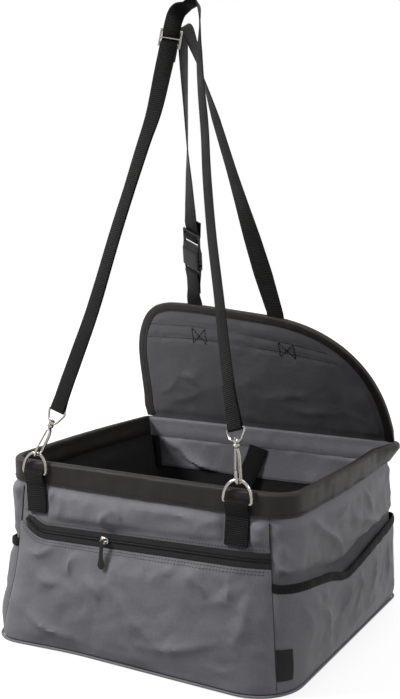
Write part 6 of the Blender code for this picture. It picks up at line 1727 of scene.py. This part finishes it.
def hardware(context):
    """The finish of the rings, hooks, glide, slider, buckle and boards."""
    for finish, names in HARDWARE.items():
        for name in names:
            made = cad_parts[name]
            made.data.materials.clear()
            made.data.materials.append(look(finish))
            round_wire = name in (*WIRES, "zip_puller")
            if round_wire or name in (*BUCKLE, "zip_slider"):
                made.modifiers.new("joined", "WELD").merge_threshold = 0.00001
            if round_wire:
                finer = made.modifiers.new("rounded", "SUBSURF")
                finer.levels = finer.render_levels = 1
            elif name in (*BUCKLE, "zip_slider"):
                edges = made.modifiers.new("soft_edges", "BEVEL")
                edges.width = 0.0003
                edges.segments = 2
                edges.limit_method = "ANGLE"
                edges.angle_limit = math.radians(35.0)


# Stage

def camera_ray_share(tree):
    """1 for camera, glossy and transmitted rays, else 0."""
    path = tree.nodes.new("ShaderNodeLightPath").outputs
    return calc(tree, "MAXIMUM", calc(tree, "MAXIMUM", path["Is Camera Ray"], path["Is Glossy Ray"]),
                path["Is Transmission Ray"])


def put(name, data, place=(0.0, 0.0, 0.0), turns=(0.0, 0.0, 0.0)):
    """An object of the stage at its place."""
    made = bpy.data.objects.new(name, data)
    made.location = place
    made.rotation_euler = turns
    bpy.context.scene.collection.objects.link(made)
    return made


def stage(context):
    """The camera, the pale floor, the lamps and the sky."""
    settings, scene = context.scene.seat_stage, context.scene
    scene.view_settings.view_transform = "Standard"
    data = bpy.data.cameras.new("camera")
    data.lens = settings.lens
    data.sensor_width = 36.0
    data.sensor_fit = "AUTO"
    data.clip_start = 0.02
    scene.camera = put("camera", data, CAMERA_PLACE, [math.radians(turn) for turn in CAMERA_TURNS_DEG])

    mesh = bpy.data.meshes.new("floor")
    mesh.from_pydata([(x * FLOOR_HALF, y * FLOOR_HALF, -0.0004) for x, y in ((-1, -1), (1, -1), (1, 1), (-1, 1))],
                     [], [(0, 1, 2, 3)])
    made, tree, shader = start_look("pale_floor", 0.6)
    fill(tree, shader, {"Base Color": (*settings.floor, 1.0), "Specular IOR Level": 0.2})
    away = node(tree, "VectorMath", {0: node(tree, "TexCoord", output="Object")}, "Value", operation="LENGTH")
    far = node(tree, "MapRange", dict(enumerate((away, 0.55, 1.6, settings.floor_white, 1.0))))
    glow = node(tree, "Emission", {"Strength": calc(tree, "MULTIPLY", camera_ray_share(tree), far)})
    surface = node(tree, "AddShader", {0: shader.outputs[0], 1: glow})
    fill(tree, tree.nodes["Material Output"], {"Surface": surface})
    mesh.materials.append(made)
    put("floor", mesh)

    scene.world = bpy.data.worlds.new("sky")
    scene.world.use_nodes = True
    tree = scene.world.node_tree
    shown = calc(tree, "MULTIPLY", camera_ray_share(tree), 1.0 - settings.sky)
    fill(tree, tree.nodes["Background"], {"Color": (1.0, 1.0, 1.0, 1.0),
                                          "Strength": calc(tree, "ADD", shown, settings.sky)})
    for name, place, wide, strength in (("key_lamp", (-1.00, -0.78, 1.15), 0.40, settings.key),
                                        ("fill_lamp", (2.0, -0.7, 1.9), 0.7, settings.fill),
                                        ("top_lamp", (0.2, 0.6, 2.6), 1.2, settings.fill * 0.4)):
        lamp = bpy.data.lights.new(name, "AREA")
        lamp.shape = "DISK"
        lamp.size = wide
        lamp.energy = strength
        aim = Vector((0.0, 0.0, 0.25)) - Vector(place)
        put(name, lamp, place, aim.to_track_quat("-Z", "Y").to_euler())


# Operators

def made_by(context, *makers):
    """Make the pieces in order, and say that the operator is done."""
    for maker in makers:
        maker(context)
    return {"FINISHED"}


class SEAT_OT_stage(bpy.types.Operator):
    """Set up the camera, the floor, the lamps and the sky"""
    bl_idname = "seat.stage"
    bl_label = "Stage"

    def execute(self, context):
        return made_by(context, stage)


class SEAT_OT_walls(bpy.types.Operator):
    """Make the outer cloth, padding, lining and base cloths of the basket"""
    bl_idname = "seat.walls"
    bl_label = "Walls"

    def execute(self, context):
        return made_by(context, wall_padding, outer_walls, linings, base_cloths)


class SEAT_OT_rim(bpy.types.Operator):
    """Make the rim's binding, the rear channel and the facing under it"""
    bl_idname = "seat.rim"
    bl_label = "Rim"

    def execute(self, context):
        return made_by(context, rim, facing)


class SEAT_OT_front_pocket(bpy.types.Operator):
    """Make the front pocket, the zip's tapes and its teeth"""
    bl_idname = "seat.front_pocket"
    bl_label = "Front pocket"

    def execute(self, context):
        return made_by(context, front_pocket, zip_pieces)


class SEAT_OT_side_pockets(bpy.types.Operator):
    """Make the side pockets, their elastic edges, the bare tag and the dark cords of painted shade in the front
    corner seams
    """
    bl_idname = "seat.side_pockets"
    bl_label = "Side pockets"

    def execute(self, context):
        return made_by(context, side_pockets, seam_shade_cords, blank_label)


class SEAT_OT_tabs(bpy.types.Operator):
    """Make the webbing tabs that hold the rings"""
    bl_idname = "seat.tabs"
    bl_label = "Ring tabs"

    def execute(self, context):
        return made_by(context, ring_tabs)


class SEAT_OT_flap(bpy.types.Operator):
    """Make the back flap's cloth and its edge binding"""
    bl_idname = "seat.flap"
    bl_label = "Back flap"

    def execute(self, context):
        return made_by(context, flap_cloths, flap_tape)


class SEAT_OT_straps(bpy.types.Operator):
    """Make the front strap, the rear strap's two lengths and the tether"""
    bl_idname = "seat.straps"
    bl_label = "Straps"

    def execute(self, context):
        return made_by(context, front_strap, rear_stub, rear_strap, tether)


class SEAT_OT_sewing(bpy.types.Operator):
    """Make the rows of stitches"""
    bl_idname = "seat.sewing"
    bl_label = "Sewing"

    def execute(self, context):
        return made_by(context, sewing)


class SEAT_OT_hardware(bpy.types.Operator):
    """Finish the metal, plastic and board pieces of the frame"""
    bl_idname = "seat.hardware"
    bl_label = "Metal and plastic"

    def execute(self, context):
        return made_by(context, hardware)


OPERATORS = (SEAT_OT_stage, SEAT_OT_walls, SEAT_OT_rim, SEAT_OT_front_pocket, SEAT_OT_side_pockets, SEAT_OT_tabs,
             SEAT_OT_flap, SEAT_OT_straps, SEAT_OT_sewing, SEAT_OT_hardware)
GROUPS = (("seat_cloth", SeatCloth), ("seat_thread", SeatThread), ("seat_hardware", SeatHardware),
          ("seat_stage", SeatStage))


class SEAT_PT_panel(bpy.types.Panel):
    """The seat's sizes, colours and steps"""
    bl_label = "Dog car seat"
    bl_idname = "SEAT_PT_panel"
    bl_space_type = "VIEW_3D"
    bl_region_type = "UI"
    bl_category = "Dog car seat"

    def draw(self, context):
        for name, group in GROUPS:
            box = self.layout.box()
            for prop in group.__annotations__:
                box.prop(getattr(context.scene, name), prop)
        for operator in OPERATORS:
            self.layout.operator(operator.bl_idname)


def register():
    for name, group in GROUPS:
        bpy.utils.register_class(group)
        setattr(bpy.types.Scene, name, PointerProperty(type=group))
    for operator in OPERATORS:
        bpy.utils.register_class(operator)
    bpy.utils.register_class(SEAT_PT_panel)


def unregister():
    bpy.utils.unregister_class(SEAT_PT_panel)
    for operator in reversed(OPERATORS):
        bpy.utils.unregister_class(operator)
    for name, group in reversed(GROUPS):
        delattr(bpy.types.Scene, name)
        bpy.utils.unregister_class(group)


def main():
    register()
    for operator in OPERATORS:
        group, name = operator.bl_idname.split(".")
        getattr(getattr(bpy.ops, group), name)()


if __name__ == "__main__":
    main()
